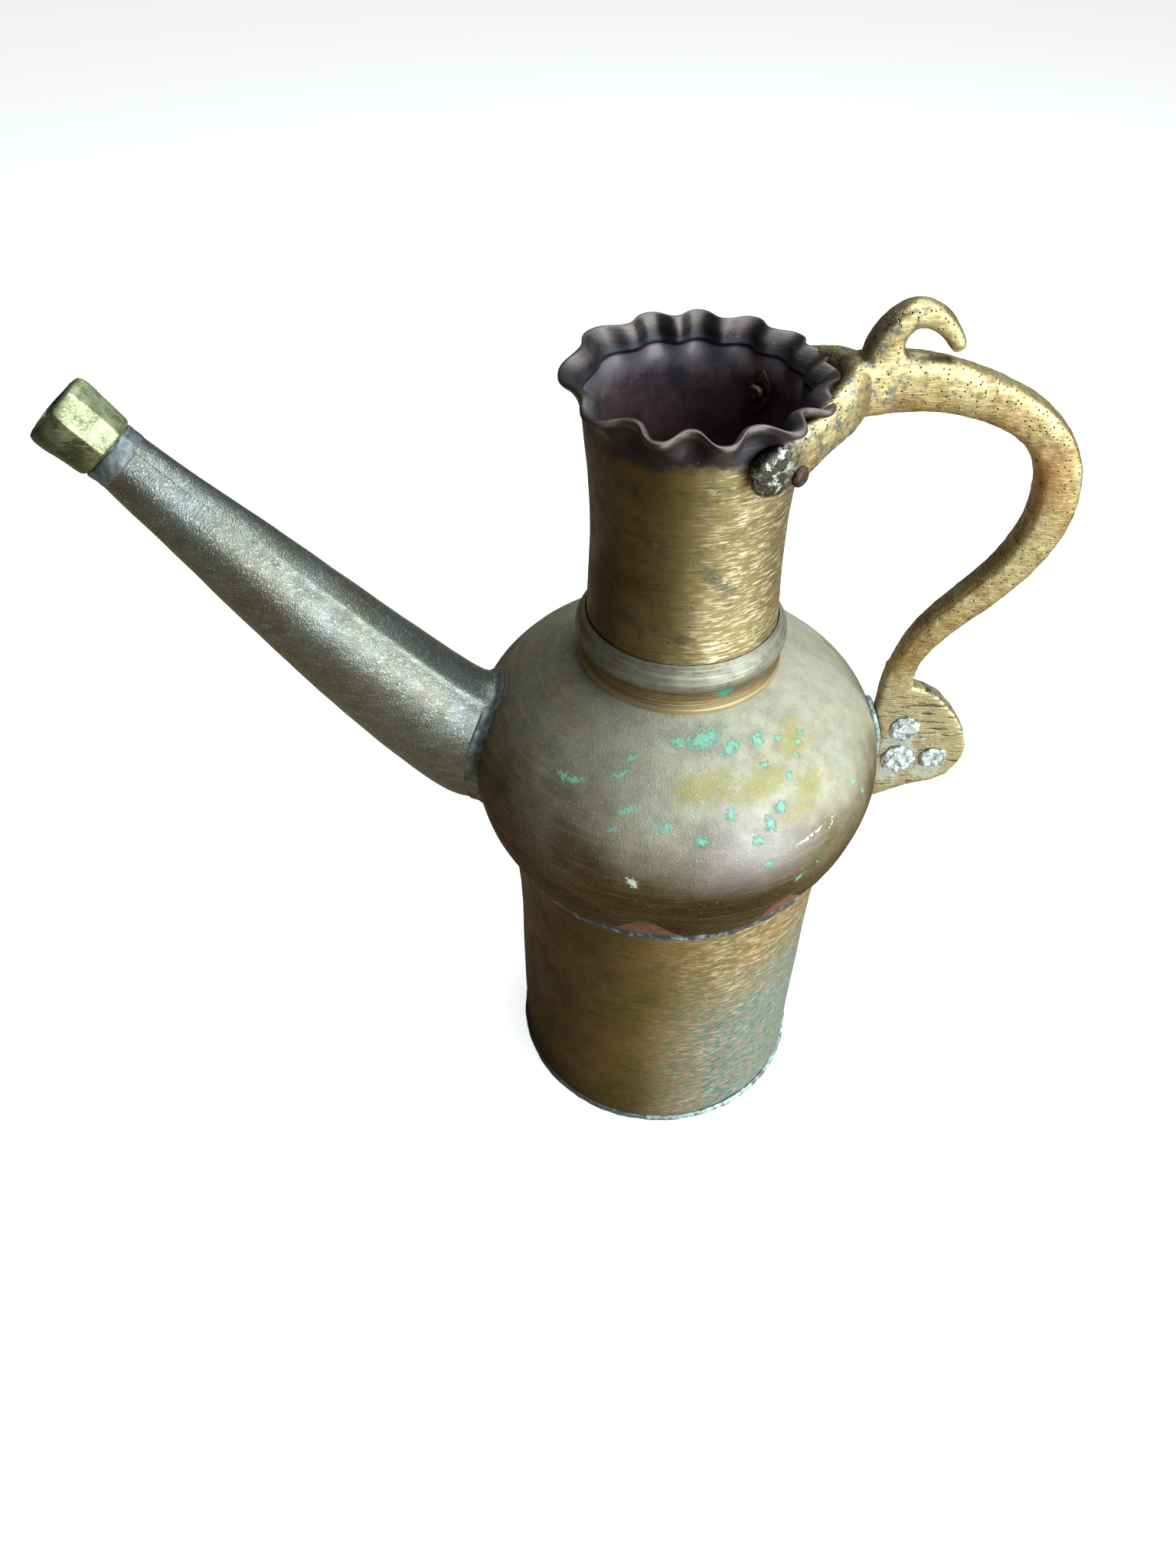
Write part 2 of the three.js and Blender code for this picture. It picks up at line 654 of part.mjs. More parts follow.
// Solder between the lug's edge and the bulb.
function lugSolder() {
  const height = LUG_SEAT_TOP + LUG_SEAT_BOTTOM;
  const block = new THREE.BoxGeometry(2 * BELLY_RADIUS, LUG_THICKNESS + 2 * LUG_FILLET, height);
  block.translate(BELLY_RADIUS, 0, BELLY_HEIGHT - LUG_SEAT_BOTTOM + height / 2);
  const layer = bulbBlock(FIT_GAP + SOLDER_PROUD).subtract(bulbBlock(FIT_GAP));
  return toGeometry(toSolid(block).intersect(layer));
}

// ---- Rivets --------------------------------------------------------------------------------

const rivetHeight = RIM_HEIGHT - RIVET_DROP;
const neckAtRivet = radiusAt(neckOutline, rivetHeight);
const washerFace = Math.sqrt((neckAtRivet - SHEET) ** 2 - (WASHER_WIDTH / 2) ** 2) - 2 * FIT_GAP;
// The rove leans with the wall it lies on.
const washerLean = Math.atan2(
  radiusAt(neckOutline, rivetHeight + WASHER_LENGTH / 4) - radiusAt(neckOutline, rivetHeight - WASHER_LENGTH / 4),
  WASHER_LENGTH / 2,
);

// Lays a geometry made along +X, outwards from the neck's axis, onto a rivet's line.
const onRivetLine = (geometry, side) =>
  geometry.rotateZ(side * radians(RIVET_BEARING)).translate(0, 0, rivetHeight);

function rivetHole(side) {
  const radius = RIVET_SHANK + FIT_GAP;
  const hole = new THREE.CylinderGeometry(radius, radius, 2 * neckAtRivet, RIVET_SIDES);
  return toSolid(onRivetLine(hole.rotateZ(-Math.PI / 2).translate(neckAtRivet, 0, 0), side));
}

function yokeRivet(side) {
  const tail = washerFace - WASHER_THICKNESS - FIT_GAP - RIVET_HEAD * Math.tan(washerLean);
  const head = padInside + PAD_THICKNESS + FIT_GAP;
  const outline = [
    at(0, tail - RIVET_HEAD_HEIGHT),
    at(RIVET_HEAD * 0.7, tail - RIVET_HEAD_HEIGHT),
    at(RIVET_HEAD * 0.9, tail),
    at(RIVET_SHANK, tail),
    at(RIVET_SHANK, head),
    at(RIVET_HEAD, head),
    at(RIVET_HEAD * 0.7, head + RIVET_HEAD_HEIGHT),
    at(0, head + RIVET_HEAD_HEIGHT),
  ];
  return onRivetLine(revolve(outline, RIVET_SIDES).rotateY(Math.PI / 2), side);
}

// Leaf-shaped rove under the rivet's clenched tail, inside the neck.
function rivetWasher(side) {
  const leaf = new THREE.Shape();
  leaf.moveTo(0, -WASHER_LENGTH / 2);
  leaf.quadraticCurveTo(WASHER_WIDTH, 0, 0, WASHER_LENGTH / 2);
  leaf.quadraticCurveTo(-WASHER_WIDTH, 0, 0, -WASHER_LENGTH / 2);
  const slant = (WASHER_THICKNESS / 2) * Math.tan(washerLean);
  const holeRadius = (RIVET_SHANK + FIT_GAP) / Math.cos(washerLean) + slant;
  const hole = new THREE.Path().absarc(0, 0, holeRadius, 0, 2 * Math.PI, true);
  leaf.holes.push(hole);
  const geometry = new THREE.ExtrudeGeometry(leaf, {
    depth: WASHER_THICKNESS,
    bevelEnabled: false,
    curveSegments: 8,
  });
  geometry.rotateY(Math.PI / 2).rotateX(Math.PI / 2).rotateY(washerLean);
  return onRivetLine(geometry.translate(washerFace - WASHER_THICKNESS, 0, 0), side);
}

function lugRivet([outwards, up, headRadius]) {
  const face = LUG_THICKNESS / 2 + FIT_GAP;
  const crown = face + RIVET_HEAD_HEIGHT;
  const half = [
    at(RIVET_SHANK, face),
    at(headRadius, face),
    at(headRadius * 0.75, crown - 0.3),
    at(0, crown),
  ];
  const mirrored = half.map((point) => at(point.x, -point.y)).reverse();
  const geometry = revolve([...mirrored, ...half], RIVET_SIDES).rotateX(Math.PI / 2);
  return geometry.translate(BELLY_RADIUS + outwards, 0, BELLY_HEIGHT + up);
}

// ---- The assembly --------------------------------------------------------------------------

const can = new THREE.Group();

function addPiece(name, geometry, look) {
  const mesh = new THREE.Mesh(geometry, new THREE.MeshStandardMaterial(look));
  mesh.name = name;
  can.add(mesh);
}

addPiece("base_plate", basePlate(), BRASS);
addPiece("foot_solder", footSolder(), SOLDER);
addPiece("lower_body", lowerBody(), BRASS);
addPiece("seam_solder", seamSolder(), COPPER);
addPiece("upper_body", upperBody(), DUSTY_BRASS);
addPiece("neck", neck(), BRASS);
addPiece("neck_collar", neckCollar(), DUSTY_BRASS);
addPiece("spout", spout(), OXIDE);
addPiece("spout_collar", spoutCollar(), SOLDER);
addPiece("spout_tip", spoutTip(), GREEN_BRASS);
addPiece("tip_solder", tipSolder(), SOLDER);
addPiece("handle", handle(), CAST_BRASS);
addPiece("lug_solder", lugSolder(), SOLDER);
addPiece("yoke_rivet_front", yokeRivet(-1), COPPER);
addPiece("yoke_rivet_back", yokeRivet(1), COPPER);
addPiece("rivet_washer_front", rivetWasher(-1), COPPER);
addPiece("rivet_washer_back", rivetWasher(1), COPPER);
LUG_RIVETS.forEach((rivet, i) => addPiece(`lug_rivet_${i + 1}`, lugRivet(rivet), CRUST));

export default can;
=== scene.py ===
import math

import bpy
from mathutils import Matrix, Vector, kdtree


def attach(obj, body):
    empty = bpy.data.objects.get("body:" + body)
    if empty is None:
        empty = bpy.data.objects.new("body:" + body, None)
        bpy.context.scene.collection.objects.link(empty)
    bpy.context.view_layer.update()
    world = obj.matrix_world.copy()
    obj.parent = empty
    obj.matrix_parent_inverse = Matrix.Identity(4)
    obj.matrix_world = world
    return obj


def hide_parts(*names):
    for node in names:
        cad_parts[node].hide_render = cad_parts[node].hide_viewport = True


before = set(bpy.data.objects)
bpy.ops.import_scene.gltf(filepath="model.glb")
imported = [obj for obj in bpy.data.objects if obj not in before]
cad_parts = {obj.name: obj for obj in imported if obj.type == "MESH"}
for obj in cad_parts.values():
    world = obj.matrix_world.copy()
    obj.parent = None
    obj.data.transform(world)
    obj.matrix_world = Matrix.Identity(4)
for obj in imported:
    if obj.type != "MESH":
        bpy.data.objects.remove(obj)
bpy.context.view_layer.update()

MM = 0.001

# ---- Stage -------------------------------------------------------------------------------------
# A pale floor, one large soft window light low on the right in front, a dim one overhead, and the
# camera, which looks down on the can from a little over arm's length.

def hex_colour(text):
    """Turns an sRGB hex colour into a linear one."""
    shares = [int(text[i : i + 2], 16) / 255 for i in (1, 3, 5)]
    linear = [s / 12.92 if s <= 0.04045 else ((s + 0.055) / 1.055) ** 2.4 for s in shares]
    return (*linear, 1.0)


def add(tree, kind, inputs=None, **settings):
    """Adds a node, sets it up, and feeds its sockets with values or with other nodes' sockets."""
    made = tree.nodes.new("ShaderNode" + kind)
    for key, value in settings.items():
        setattr(made, key, value)
    for key, value in (inputs or {}).items():
        if isinstance(value, bpy.types.NodeSocket):
            tree.links.new(value, made.inputs[key])
        else:
            made.inputs[key].default_value = value
    return made


def new_material(name):
    """An empty material: its node tree, and its surface shader joined to the output."""
    material = bpy.data.materials.new(name)
    material.use_nodes = True
    tree = material.node_tree
    tree.nodes.clear()
    shader = add(tree, "BsdfPrincipled")
    add(tree, "OutputMaterial", {"Surface": shader.outputs[0]})
    return material, tree, shader


bpy.ops.object.select_all(action="DESELECT")
bpy.ops.mesh.primitive_plane_add(size=6)
floor = bpy.context.object
floor.name = "floor"
floor_look, tree, shader = new_material("pale_floor")
tree.nodes.remove(shader)
path = add(tree, "LightPath")
seen = add(tree, "BsdfDiffuse", {"Color": (0.45, 0.45, 0.45, 1)})
glow = add(tree, "Emission", {"Color": (1, 1, 1, 1), "Strength": 0.8})
white = add(tree, "AddShader", {0: seen.outputs[0], 1: glow.outputs[0]})
dim = add(tree, "BsdfDiffuse", {"Color": (0.33, 0.25, 0.16, 1)})
both = add(tree, "MixShader", {0: path.outputs["Is Camera Ray"], 1: dim.outputs[0], 2: white.outputs[0]})
tree.links.new(both.outputs[0], tree.nodes["Material Output"].inputs["Surface"])
floor.data.materials.append(floor_look)

world = bpy.data.worlds.new("soft_room")
bpy.context.scene.world = world
world.use_nodes = True
tree = world.node_tree
tree.nodes.clear()
path = add(tree, "LightPath")
room = add(tree, "Background", {"Color": (0.75, 0.72, 0.66, 1), "Strength": 0.07})
backdrop = add(tree, "Background", {"Color": (1, 1, 1, 1), "Strength": 1.0})
both = add(tree, "MixShader", {
    0: path.outputs["Is Camera Ray"], 1: room.outputs[0], 2: backdrop.outputs[0],
})
add(tree, "OutputWorld", {"Surface": both.outputs[0]})
bpy.context.scene.view_settings.view_transform = "Standard"


def window(name, place, aim, width, height, watts):
    """A large soft rectangular light of cool daylight at a place, turned towards a point."""
    bpy.ops.object.light_add(type="AREA", location=place)
    lamp = bpy.context.object
    lamp.name = name
    lamp.data.shape = "RECTANGLE"
    lamp.data.size = width
    lamp.data.size_y = height
    lamp.data.energy = watts
    lamp.data.color = (0.77, 0.9, 1.0)
    lamp.rotation_euler = (Vector(aim) - Vector(place)).to_track_quat("-Z", "Y").to_euler()


window("window_right", (0.66, -0.60, 0.42), (0, 0, 0.17), 1.25, 0.78, 29)
window("window_above", (0.30, 0.15, 1.15), (0, 0, 0.2), 1.0, 0.9, 26)

bpy.ops.object.camera_add(location=(-0.0302, -0.3064, 0.4475), rotation=(math.radians(45.1), 0, 0))
camera = bpy.context.object
camera.name = "camera"
camera.data.lens = 26.8
bpy.context.scene.camera = camera

# ---- Lower body --------------------------------------------------------------------------------
# A straight tube of beaten brass sheet, closed by a flat base and flaring a little to its lap
# inside the bulb. Browned and brushed round, with painted shade on its left and painted glints on its
# right, and verdigris where the oil ran down on the right.

SHEET = 1.2
ROUND_SIDES = 64
BODY_OUTLINE = [
    (57.3, 0), (57.5, 1.5), (57.5, 12), (57.4, 38), (57.5, 64), (57.9, 84), (58.4, 104), (59.0, 118),
    (59.4, 128), (59.4, 136.5),
]


def turned(name, outline, sides):
    """A ring drawn up through an outline of (radius, height), as sheet is raised on a wheel."""
    bpy.ops.object.select_all(action="DESELECT")
    radius, height = outline[0]
    bpy.ops.mesh.primitive_circle_add(vertices=sides, radius=radius * MM, location=(0, 0, height * MM))
    piece = bpy.context.object
    piece.name = name
    bpy.ops.object.transform_apply(location=True)
    bpy.ops.object.mode_set(mode="EDIT")
    bpy.ops.mesh.select_all(action="SELECT")
    for (was_radius, was_height), (radius, height) in zip(outline, outline[1:]):
        rise = (0, 0, (height - was_height) * MM)
        bpy.ops.mesh.extrude_region_move(TRANSFORM_OT_translate={"value": rise})
        share = radius / was_radius
        bpy.ops.transform.resize(value=(share, share, 1), center_override=(0, 0, height * MM))
    bpy.ops.object.mode_set(mode="OBJECT")
    return piece


def outwards(piece):
    """Merges what touches, and turns every face outwards."""
    bpy.context.view_layer.objects.active = piece
    bpy.ops.object.mode_set(mode="EDIT")
    bpy.ops.mesh.select_all(action="SELECT")
    bpy.ops.mesh.remove_doubles(threshold=0.01 * MM)
    bpy.ops.mesh.normals_make_consistent(inside=False)
    bpy.ops.object.mode_set(mode="OBJECT")


def finish_with(piece, kind, **settings):
    """Adds a modifier and applies it."""
    bpy.context.view_layer.objects.active = piece
    bpy.ops.object.modifier_add(type=kind)
    modifier = piece.modifiers[-1]
    for key, value in settings.items():
        setattr(modifier, key, value)
    bpy.ops.object.modifier_apply(modifier=modifier.name)


def push(piece, place, move, reach):
    """Dents or bulges a piece: moves it by a vector at a place, fading out over a distance, all in mm."""
    bpy.ops.object.select_all(action="DESELECT")
    bpy.context.view_layer.objects.active = piece
    piece.select_set(True)
    points = piece.data.vertices
    target = Vector(place) * MM
    for flags in (points, piece.data.edges, piece.data.polygons):
        flags.foreach_set("select", [False] * len(flags))
    min(points, key=lambda point: (point.co - target).length_squared).select = True
    bpy.ops.object.mode_set(mode="EDIT")
    bpy.ops.transform.translate(
        value=Vector(move) * MM,
        use_proportional_edit=True,
        proportional_edit_falloff="SMOOTH",
        proportional_size=reach * MM,
    )
    bpy.ops.object.mode_set(mode="OBJECT")


def round_place(bearing, radius, height):
    """The point at a bearing from +X, a radius from the can's axis and a height."""
    angle = math.radians(bearing)
    return Vector((radius * math.cos(angle), radius * math.sin(angle), height))


def beat(piece, depth, size, seed):
    """Leaves the shallow hollows of the hammer in a sheet: depth and size in mm."""
    texture = bpy.data.textures.new(piece.name + "_hammering", "CLOUDS")
    texture.noise_scale = size * MM
    texture.noise_depth = 1
    carrier = bpy.data.objects.new(piece.name + "_shift", None)
    carrier.location = (seed * 0.37, seed * 0.61, seed * 0.23)
    bpy.context.scene.collection.objects.link(carrier)
    bpy.context.view_layer.update()
    finish_with(
        piece, "DISPLACE", texture=texture, strength=depth * MM, mid_level=0.5,
        texture_coords="OBJECT", texture_coords_object=carrier,
    )
    bpy.data.objects.remove(carrier)


def smooth_by_angle(piece, degrees):
    """Shades a piece smooth, but for edges that are sharper than an angle."""
    bpy.ops.object.select_all(action="DESELECT")
    bpy.context.view_layer.objects.active = piece
    piece.select_set(True)
    bpy.ops.object.shade_smooth_by_angle(angle=math.radians(degrees))


def hand_over(piece, look, slot, *nodes):
    """Dresses a finished piece and puts it in the CAD nodes' place."""
    if look is not None:
        piece.data.materials.append(look)
    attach(piece, "root")
    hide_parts(*nodes)


lower_body = turned("lower_body_shell", BODY_OUTLINE, ROUND_SIDES)
outwards(lower_body)
finish_with(lower_body, "SUBSURF", levels=2, render_levels=2)
push(lower_body, round_place(180, 57.5, 92), (1.3, 0, 0), 45)
push(lower_body, round_place(-60, 57.5, 20), (-0.5, 0.8, 0), 40)
push(lower_body, round_place(20, 57.5, 60), (0.9, 0.2, 0), 45)
push(lower_body, round_place(100, 57.5, 70), (0.3, -1.2, 0), 40)
beat(lower_body, 0.7, 22, 1)
finish_with(lower_body, "SOLIDIFY", thickness=SHEET * MM, offset=-1.0)
smooth_by_angle(lower_body, 40)


def surface_radius(outline, height):
    """Radius of an outline at a height."""
    for (low_radius, low), (high_radius, high) in zip(outline, outline[1:]):
        if low <= height <= high:
            return low_radius + (high_radius - low_radius) * (height - low) / (high - low)
    return outline[-1][0]


def mark(piece, name, outline, spots):
    """Stores at each point of a round wall how near it is to the nearest spot: 0 in its middle, 1 at its
    edge. A spot is its bearing, height, half its length, half its width, and its tilt in degrees."""
    points = piece.data.vertices
    finder = kdtree.KDTree(len(points))
    for point in points:
        finder.insert(point.co / MM, point.index)
    finder.balance()
    far = 3.0
    nearness = [far] * len(points)
    for bearing, height, half_length, half_width, tilt in spots:
        centre = round_place(bearing, surface_radius(outline, height), height)
        facing = Matrix.Rotation(math.radians(bearing + 90), 3, "Z")
        unturn = (facing @ Matrix.Rotation(math.radians(-tilt), 3, "Y")).transposed()
        longest = max(half_length, half_width)
        for place, index, _ in finder.find_range(centre, far * longest):
            local = unturn @ (place - centre)
            reach = Vector((local.x / half_length, local.y / longest, local.z / half_width)).length
            nearness[index] = min(nearness[index], reach)
    piece.data.attributes.new(name, "FLOAT", "POINT").data.foreach_set("value", nearness)


def places_in_mm(tree):
    """Where each point of the surface is on the can, in mm."""
    coords = add(tree, "TexCoord").outputs["Object"]
    return add(tree, "Mapping", {"Vector": coords, "Scale": (1000, 1000, 1000)}).outputs[0]


def dress(tree, shader, colour, metallic, roughness, relief, strength, depth):
    """Feeds the surface shader: its colour, how bare the metal is, and relief of a depth in mm."""
    for socket, value in (("Base Color", colour), ("Metallic", metallic), ("Roughness", roughness)):
        if isinstance(value, bpy.types.NodeSocket):
            tree.links.new(value, shader.inputs[socket])
        else:
            shader.inputs[socket].default_value = value
    bump = add(tree, "Bump", {"Height": relief, "Strength": strength, "Distance": depth * MM})
    tree.links.new(bump.outputs[0], shader.inputs["Normal"])


def spotted(tree, name, ragged):
    """Share of the surface that a set of marks covers, with a frayed edge."""
    nearness = add(tree, "Attribute", attribute_name=name).outputs["Fac"]
    frayed = add(tree, "Math", {0: nearness, 1: ragged}, operation="ADD").outputs[0]
    return add(tree, "MapRange", {"Value": frayed, "From Min": 1.2, "From Max": 0.8}).outputs[0]


def brass_sheet(name, warm, radius, verdigris_from):
    """Beaten brass sheet, darkened to brown by painted shade on the far side and given painted glints on
    the right: a satin metal with fine level strokes, olive and warm patches, dark pits and flakes of
    verdigris."""
    material, tree, shader = new_material(name)
    place = places_in_mm(tree)
    long_strokes = add(tree, "Mapping", {"Vector": place, "Scale": (0.05, 0.05, 1.1)}).outputs[0]
    strokes = add(tree, "TexNoise", {
        "Vector": long_strokes, "Scale": 1.0, "Detail": 5.0, "Roughness": 0.7,
    }).outputs["Fac"]
    short = add(tree, "Mapping", {
        "Vector": place, "Scale": (0.22, 0.22, 1.6), "Rotation": (0.12, 0.1, 0),
    }).outputs[0]
    dashes = add(tree, "TexNoise", {
        "Vector": short, "Scale": 1.0, "Detail": 4.0, "Roughness": 0.65,
    }).outputs["Fac"]
    broad = add(tree, "TexNoise", {
        "Vector": place, "Scale": 1 / 34, "Detail": 4.0, "Roughness": 0.6,
    }).outputs["Fac"]
    mottle = add(tree, "TexNoise", {
        "Vector": place, "Scale": 1 / 7, "Detail": 7.0, "Roughness": 0.7,
    }).outputs["Fac"]
    pits = add(tree, "TexNoise", {
        "Vector": place, "Scale": 1 / 1.6, "Detail": 3.0, "Roughness": 0.6,
    }).outputs["Fac"]
    broad_share = add(tree, "MapRange", {"Value": broad, "From Min": 0.38, "From Max": 0.64}).outputs[0]
    base = add(tree, "Mix", {
        0: broad_share, 6: hex_colour("#7d6d42"), 7: hex_colour(warm),
    }, data_type="RGBA").outputs[2]
    grey = add(tree, "MapRange", {
        "Value": mottle, "From Min": 0.52, "From Max": 0.72, "To Max": 0.7,
    }).outputs[0]
    base = add(tree, "Mix", {0: grey, 6: base, 7: hex_colour("#55523a")}, data_type="RGBA").outputs[2]
    split = add(tree, "SeparateXYZ", {0: place})
    across = add(tree, "Math", {
        0: broad, 1: radius, 2: split.outputs[0],
    }, operation="MULTIPLY_ADD").outputs[0]
    # Painted highlight: the right side (+X), where the window light falls, is chosen for pale glints.
    painted_glint_side = add(tree, "MapRange", {
        "Value": across, "From Min": 0.3 * radius, "From Max": 0.85 * radius, "To Max": 0.8,
    }).outputs[0]
    # Painted shade: the sheet turns dark brown towards its left side (-X), away from the window light.
    painted_shade = add(tree, "MapRange", {
        "Value": across, "From Min": 0.45 * radius, "From Max": -0.45 * radius, "To Max": 0.85,
    }).outputs[0]
    base = add(tree, "Mix", {0: painted_shade, 6: base, 7: hex_colour("#3d2904")}, data_type="RGBA").outputs[2]
    # Painted highlight: pale glints on the short strokes, on the right side only.
    light = add(tree, "MapRange", {"Value": dashes, "From Min": 0.5, "From Max": 0.64}).outputs[0]
    light = add(tree, "Math", {0: light, 1: painted_glint_side}, operation="MULTIPLY").outputs[0]
    base = add(tree, "Mix", {0: light, 6: base, 7: hex_colour("#e0cfb2")}, data_type="RGBA").outputs[2]
    dark = add(tree, "MapRange", {
        "Value": strokes, "From Min": 0.46, "From Max": 0.3, "To Max": 0.6,
    }).outputs[0]
    base = add(tree, "Mix", {0: dark, 6: base, 7: hex_colour("#33250f")}, data_type="RGBA").outputs[2]
    pit = add(tree, "MapRange", {
        "Value": pits, "From Min": 0.34, "From Max": 0.26, "To Max": 0.8,
    }).outputs[0]
    base = add(tree, "Mix", {0: pit, 6: base, 7: hex_colour("#221b10")}, data_type="RGBA").outputs[2]
    side = add(tree, "MapRange", {
        "Value": split.outputs[0], "From Min": verdigris_from, "From Max": verdigris_from + 1.15 * radius,
    }).outputs[0]
    low = add(tree, "MapRange", {
        "Value": split.outputs[2], "From Min": 125.0, "From Max": 60.0,
    }).outputs[0]
    where = add(tree, "Math", {0: side, 1: low}, operation="MULTIPLY").outputs[0]
    need = add(tree, "MapRange", {
        "Value": where, "From Max": 0.7, "To Min": 0.66, "To Max": 0.51,
    }).outputs[0]
    flakes = add(tree, "Mapping", {
        "Vector": place, "Scale": (0.3, 0.3, 0.85), "Rotation": (0.25, 0.2, 0),
    }).outputs[0]
    flakes = add(tree, "TexNoise", {
        "Vector": flakes, "Scale": 1.0, "Detail": 5.0, "Roughness": 0.6,
    }).outputs["Fac"]
    over = add(tree, "Math", {0: flakes, 1: need}, operation="SUBTRACT").outputs[0]
    green = add(tree, "MapRange", {
        "Value": over, "From Min": 0.0, "From Max": 0.05, "To Max": 0.9,
    }).outputs[0]
    tint = add(tree, "Mix", {
        0: mottle, 6: hex_colour("#10352d"), 7: hex_colour("#3a7d6b"),
    }, data_type="RGBA").outputs[2]
    bloom = add(tree, "MapRange", {
        "Value": where, "From Min": 0.25, "From Max": 1.0, "To Max": 0.6,
    }).outputs[0]
    base = add(tree, "Mix", {0: bloom, 6: base, 7: hex_colour("#8f9491")}, data_type="RGBA").outputs[2]
    base = add(tree, "Mix", {0: green, 6: base, 7: tint}, data_type="RGBA").outputs[2]
    bare = add(tree, "MapRange", {"Value": green, "To Min": 0.9, "To Max": 0.1}).outputs[0]
    shader.inputs["Anisotropic"].default_value = 0.6
    shader.inputs["Anisotropic Rotation"].default_value = 0.25
    rough = add(tree, "MapRange", {
        "Value": mottle, "From Min": 0.3, "From Max": 0.75, "To Min": 0.42, "To Max": 0.6,
    }).outputs[0]
    relief = add(tree, "Math", {0: strokes, 1: 0.6, 2: dashes}, operation="MULTIPLY_ADD").outputs[0]
    relief = add(tree, "Math", {0: pit, 1: -0.8, 2: relief}, operation="MULTIPLY_ADD").outputs[0]
    dress(tree, shader, base, metallic=bare, roughness=rough,
          relief=relief, strength=0.5, depth=0.25)
    return material


body_look = brass_sheet("browned_brass_sheet", "#8f6f3f", 60.0, -30.0)
hand_over(lower_body, body_look, "sheet_brass", "lower_body")

# Base plate: a disc of the same sheet let into the foot of the tube.
BASE_OUTLINE = [(55.8, 0), (55.9, 0.9), (55.5, 1.6), (40, 1.7), (20, 1.9), (0.5, 2.0)]
base_plate = turned("base_disc", BASE_OUTLINE, ROUND_SIDES)
bpy.ops.object.select_all(action="DESELECT")
bpy.context.view_layer.objects.active = base_plate
bpy.ops.object.mode_set(mode="EDIT")
bpy.ops.mesh.select_all(action="DESELECT")
bpy.ops.mesh.select_mode(type="EDGE")
bpy.ops.mesh.select_non_manifold(extend=False)
bpy.ops.mesh.edge_face_add()
bpy.ops.mesh.select_mode(type="VERT")
bpy.ops.object.mode_set(mode="OBJECT")
outwards(base_plate)
smooth_by_angle(base_plate, 40)
hand_over(base_plate, body_look, "sheet_brass", "base_plate")

# ---- Foot solder -------------------------------------------------------------------------------
# Soft solder run round the foot, where the base is let in: a low uneven bead, grey, and white and
# pale green where it has bloomed.

FOOT_OUTLINE = [(57.6, 0.4), (58.2, 0.3), (58.7, 0.8), (58.5, 1.6), (57.9, 2.4), (57.5, 2.6)]
foot = turned("foot_bead", FOOT_OUTLINE, 2 * ROUND_SIDES)
outwards(foot)
finish_with(foot, "SUBSURF", levels=1, render_levels=1)
beat(foot, 0.9, 5, 2)
finish_with(foot, "SOLIDIFY", thickness=0.4 * MM, offset=-1.0)
smooth_by_angle(foot, 60)

# Dull grey metal, crusted mint and white, and darkened on the left by painted shade.
solder_look, tree, shader = new_material("bloomed_soft_solder")
place = places_in_mm(tree)
crust = add(tree, "TexNoise", {
    "Vector": place, "Scale": 1 / 4, "Detail": 8.0, "Roughness": 0.75,
}).outputs["Fac"]
grain = add(tree, "TexNoise", {
    "Vector": place, "Scale": 1 / 0.9, "Detail": 4.0, "Roughness": 0.7,
}).outputs["Fac"]
share = add(tree, "MapRange", {"Value": crust, "From Min": 0.42, "From Max": 0.62}).outputs[0]
base = add(tree, "Mix", {
    0: share, 6: hex_colour("#4c4f4b"), 7: hex_colour("#a9bdb2"),
}, data_type="RGBA").outputs[2]
speck = add(tree, "MapRange", {"Value": grain, "From Min": 0.6, "From Max": 0.7}).outputs[0]
base = add(tree, "Mix", {0: speck, 6: base, 7: hex_colour("#d9e6dd")}, data_type="RGBA").outputs[2]
split = add(tree, "SeparateXYZ", {0: place})
# Painted shade: the bead grows darker towards its left side (-X).
across = add(tree, "Math", {0: crust, 1: 60.0, 2: split.outputs[0]}, operation="MULTIPLY_ADD").outputs[0]
painted_left_shade = add(tree, "MapRange", {
    "Value": across, "From Min": 44.0, "From Max": 8.0, "To Max": 0.8,
}).outputs[0]
base = add(tree, "Mix", {0: painted_left_shade, 6: base, 7: hex_colour("#3b4140")}, data_type="RGBA").outputs[2]
dress(tree, shader, base, metallic=0.35, roughness=0.6,
      relief=grain, strength=0.6, depth=0.3)
hand_over(foot, solder_look, "solder", "foot_solder")

# ---- Bulb --------------------------------------------------------------------------------------
# The bulb is raised from one disc of brass: a full shoulder, a belly, and a lower edge lapped over
# the body. Two nicks in that edge were brazed with copper. It is dulled by dust and spotted green.

BULB_OUTLINE = [
    (60.9, 128.5), (61.6, 129.9), (64.0, 134.0), (67.2, 140.4), (69.8, 148.5), (71.3, 157), (71.7, 165),
    (70.9, 172.5), (68.4, 179.5), (64.2, 186), (58.4, 191.8), (51.2, 197.0), (43.0, 201.6),
    (36.4, 204.6), (31.0, 206.8), (29.8, 208.4), (29.7, 214.5),
]
# Bearing of each nick's middle, half its width in degrees, and its height
NICKS = [(-101.0, 16.0, 12.5), (-53.5, 15.0, 12.0)]


def nick_depth(bearing):
    """How far the bulb's lower edge stands back from its line, at a bearing."""
    depth = 0.0
    for middle, half_width, height in NICKS:
        away = abs((bearing - middle + 180) % 360 - 180)
        if away < half_width:
            depth = height * (1 - away / half_width) ** 1.3
    return depth


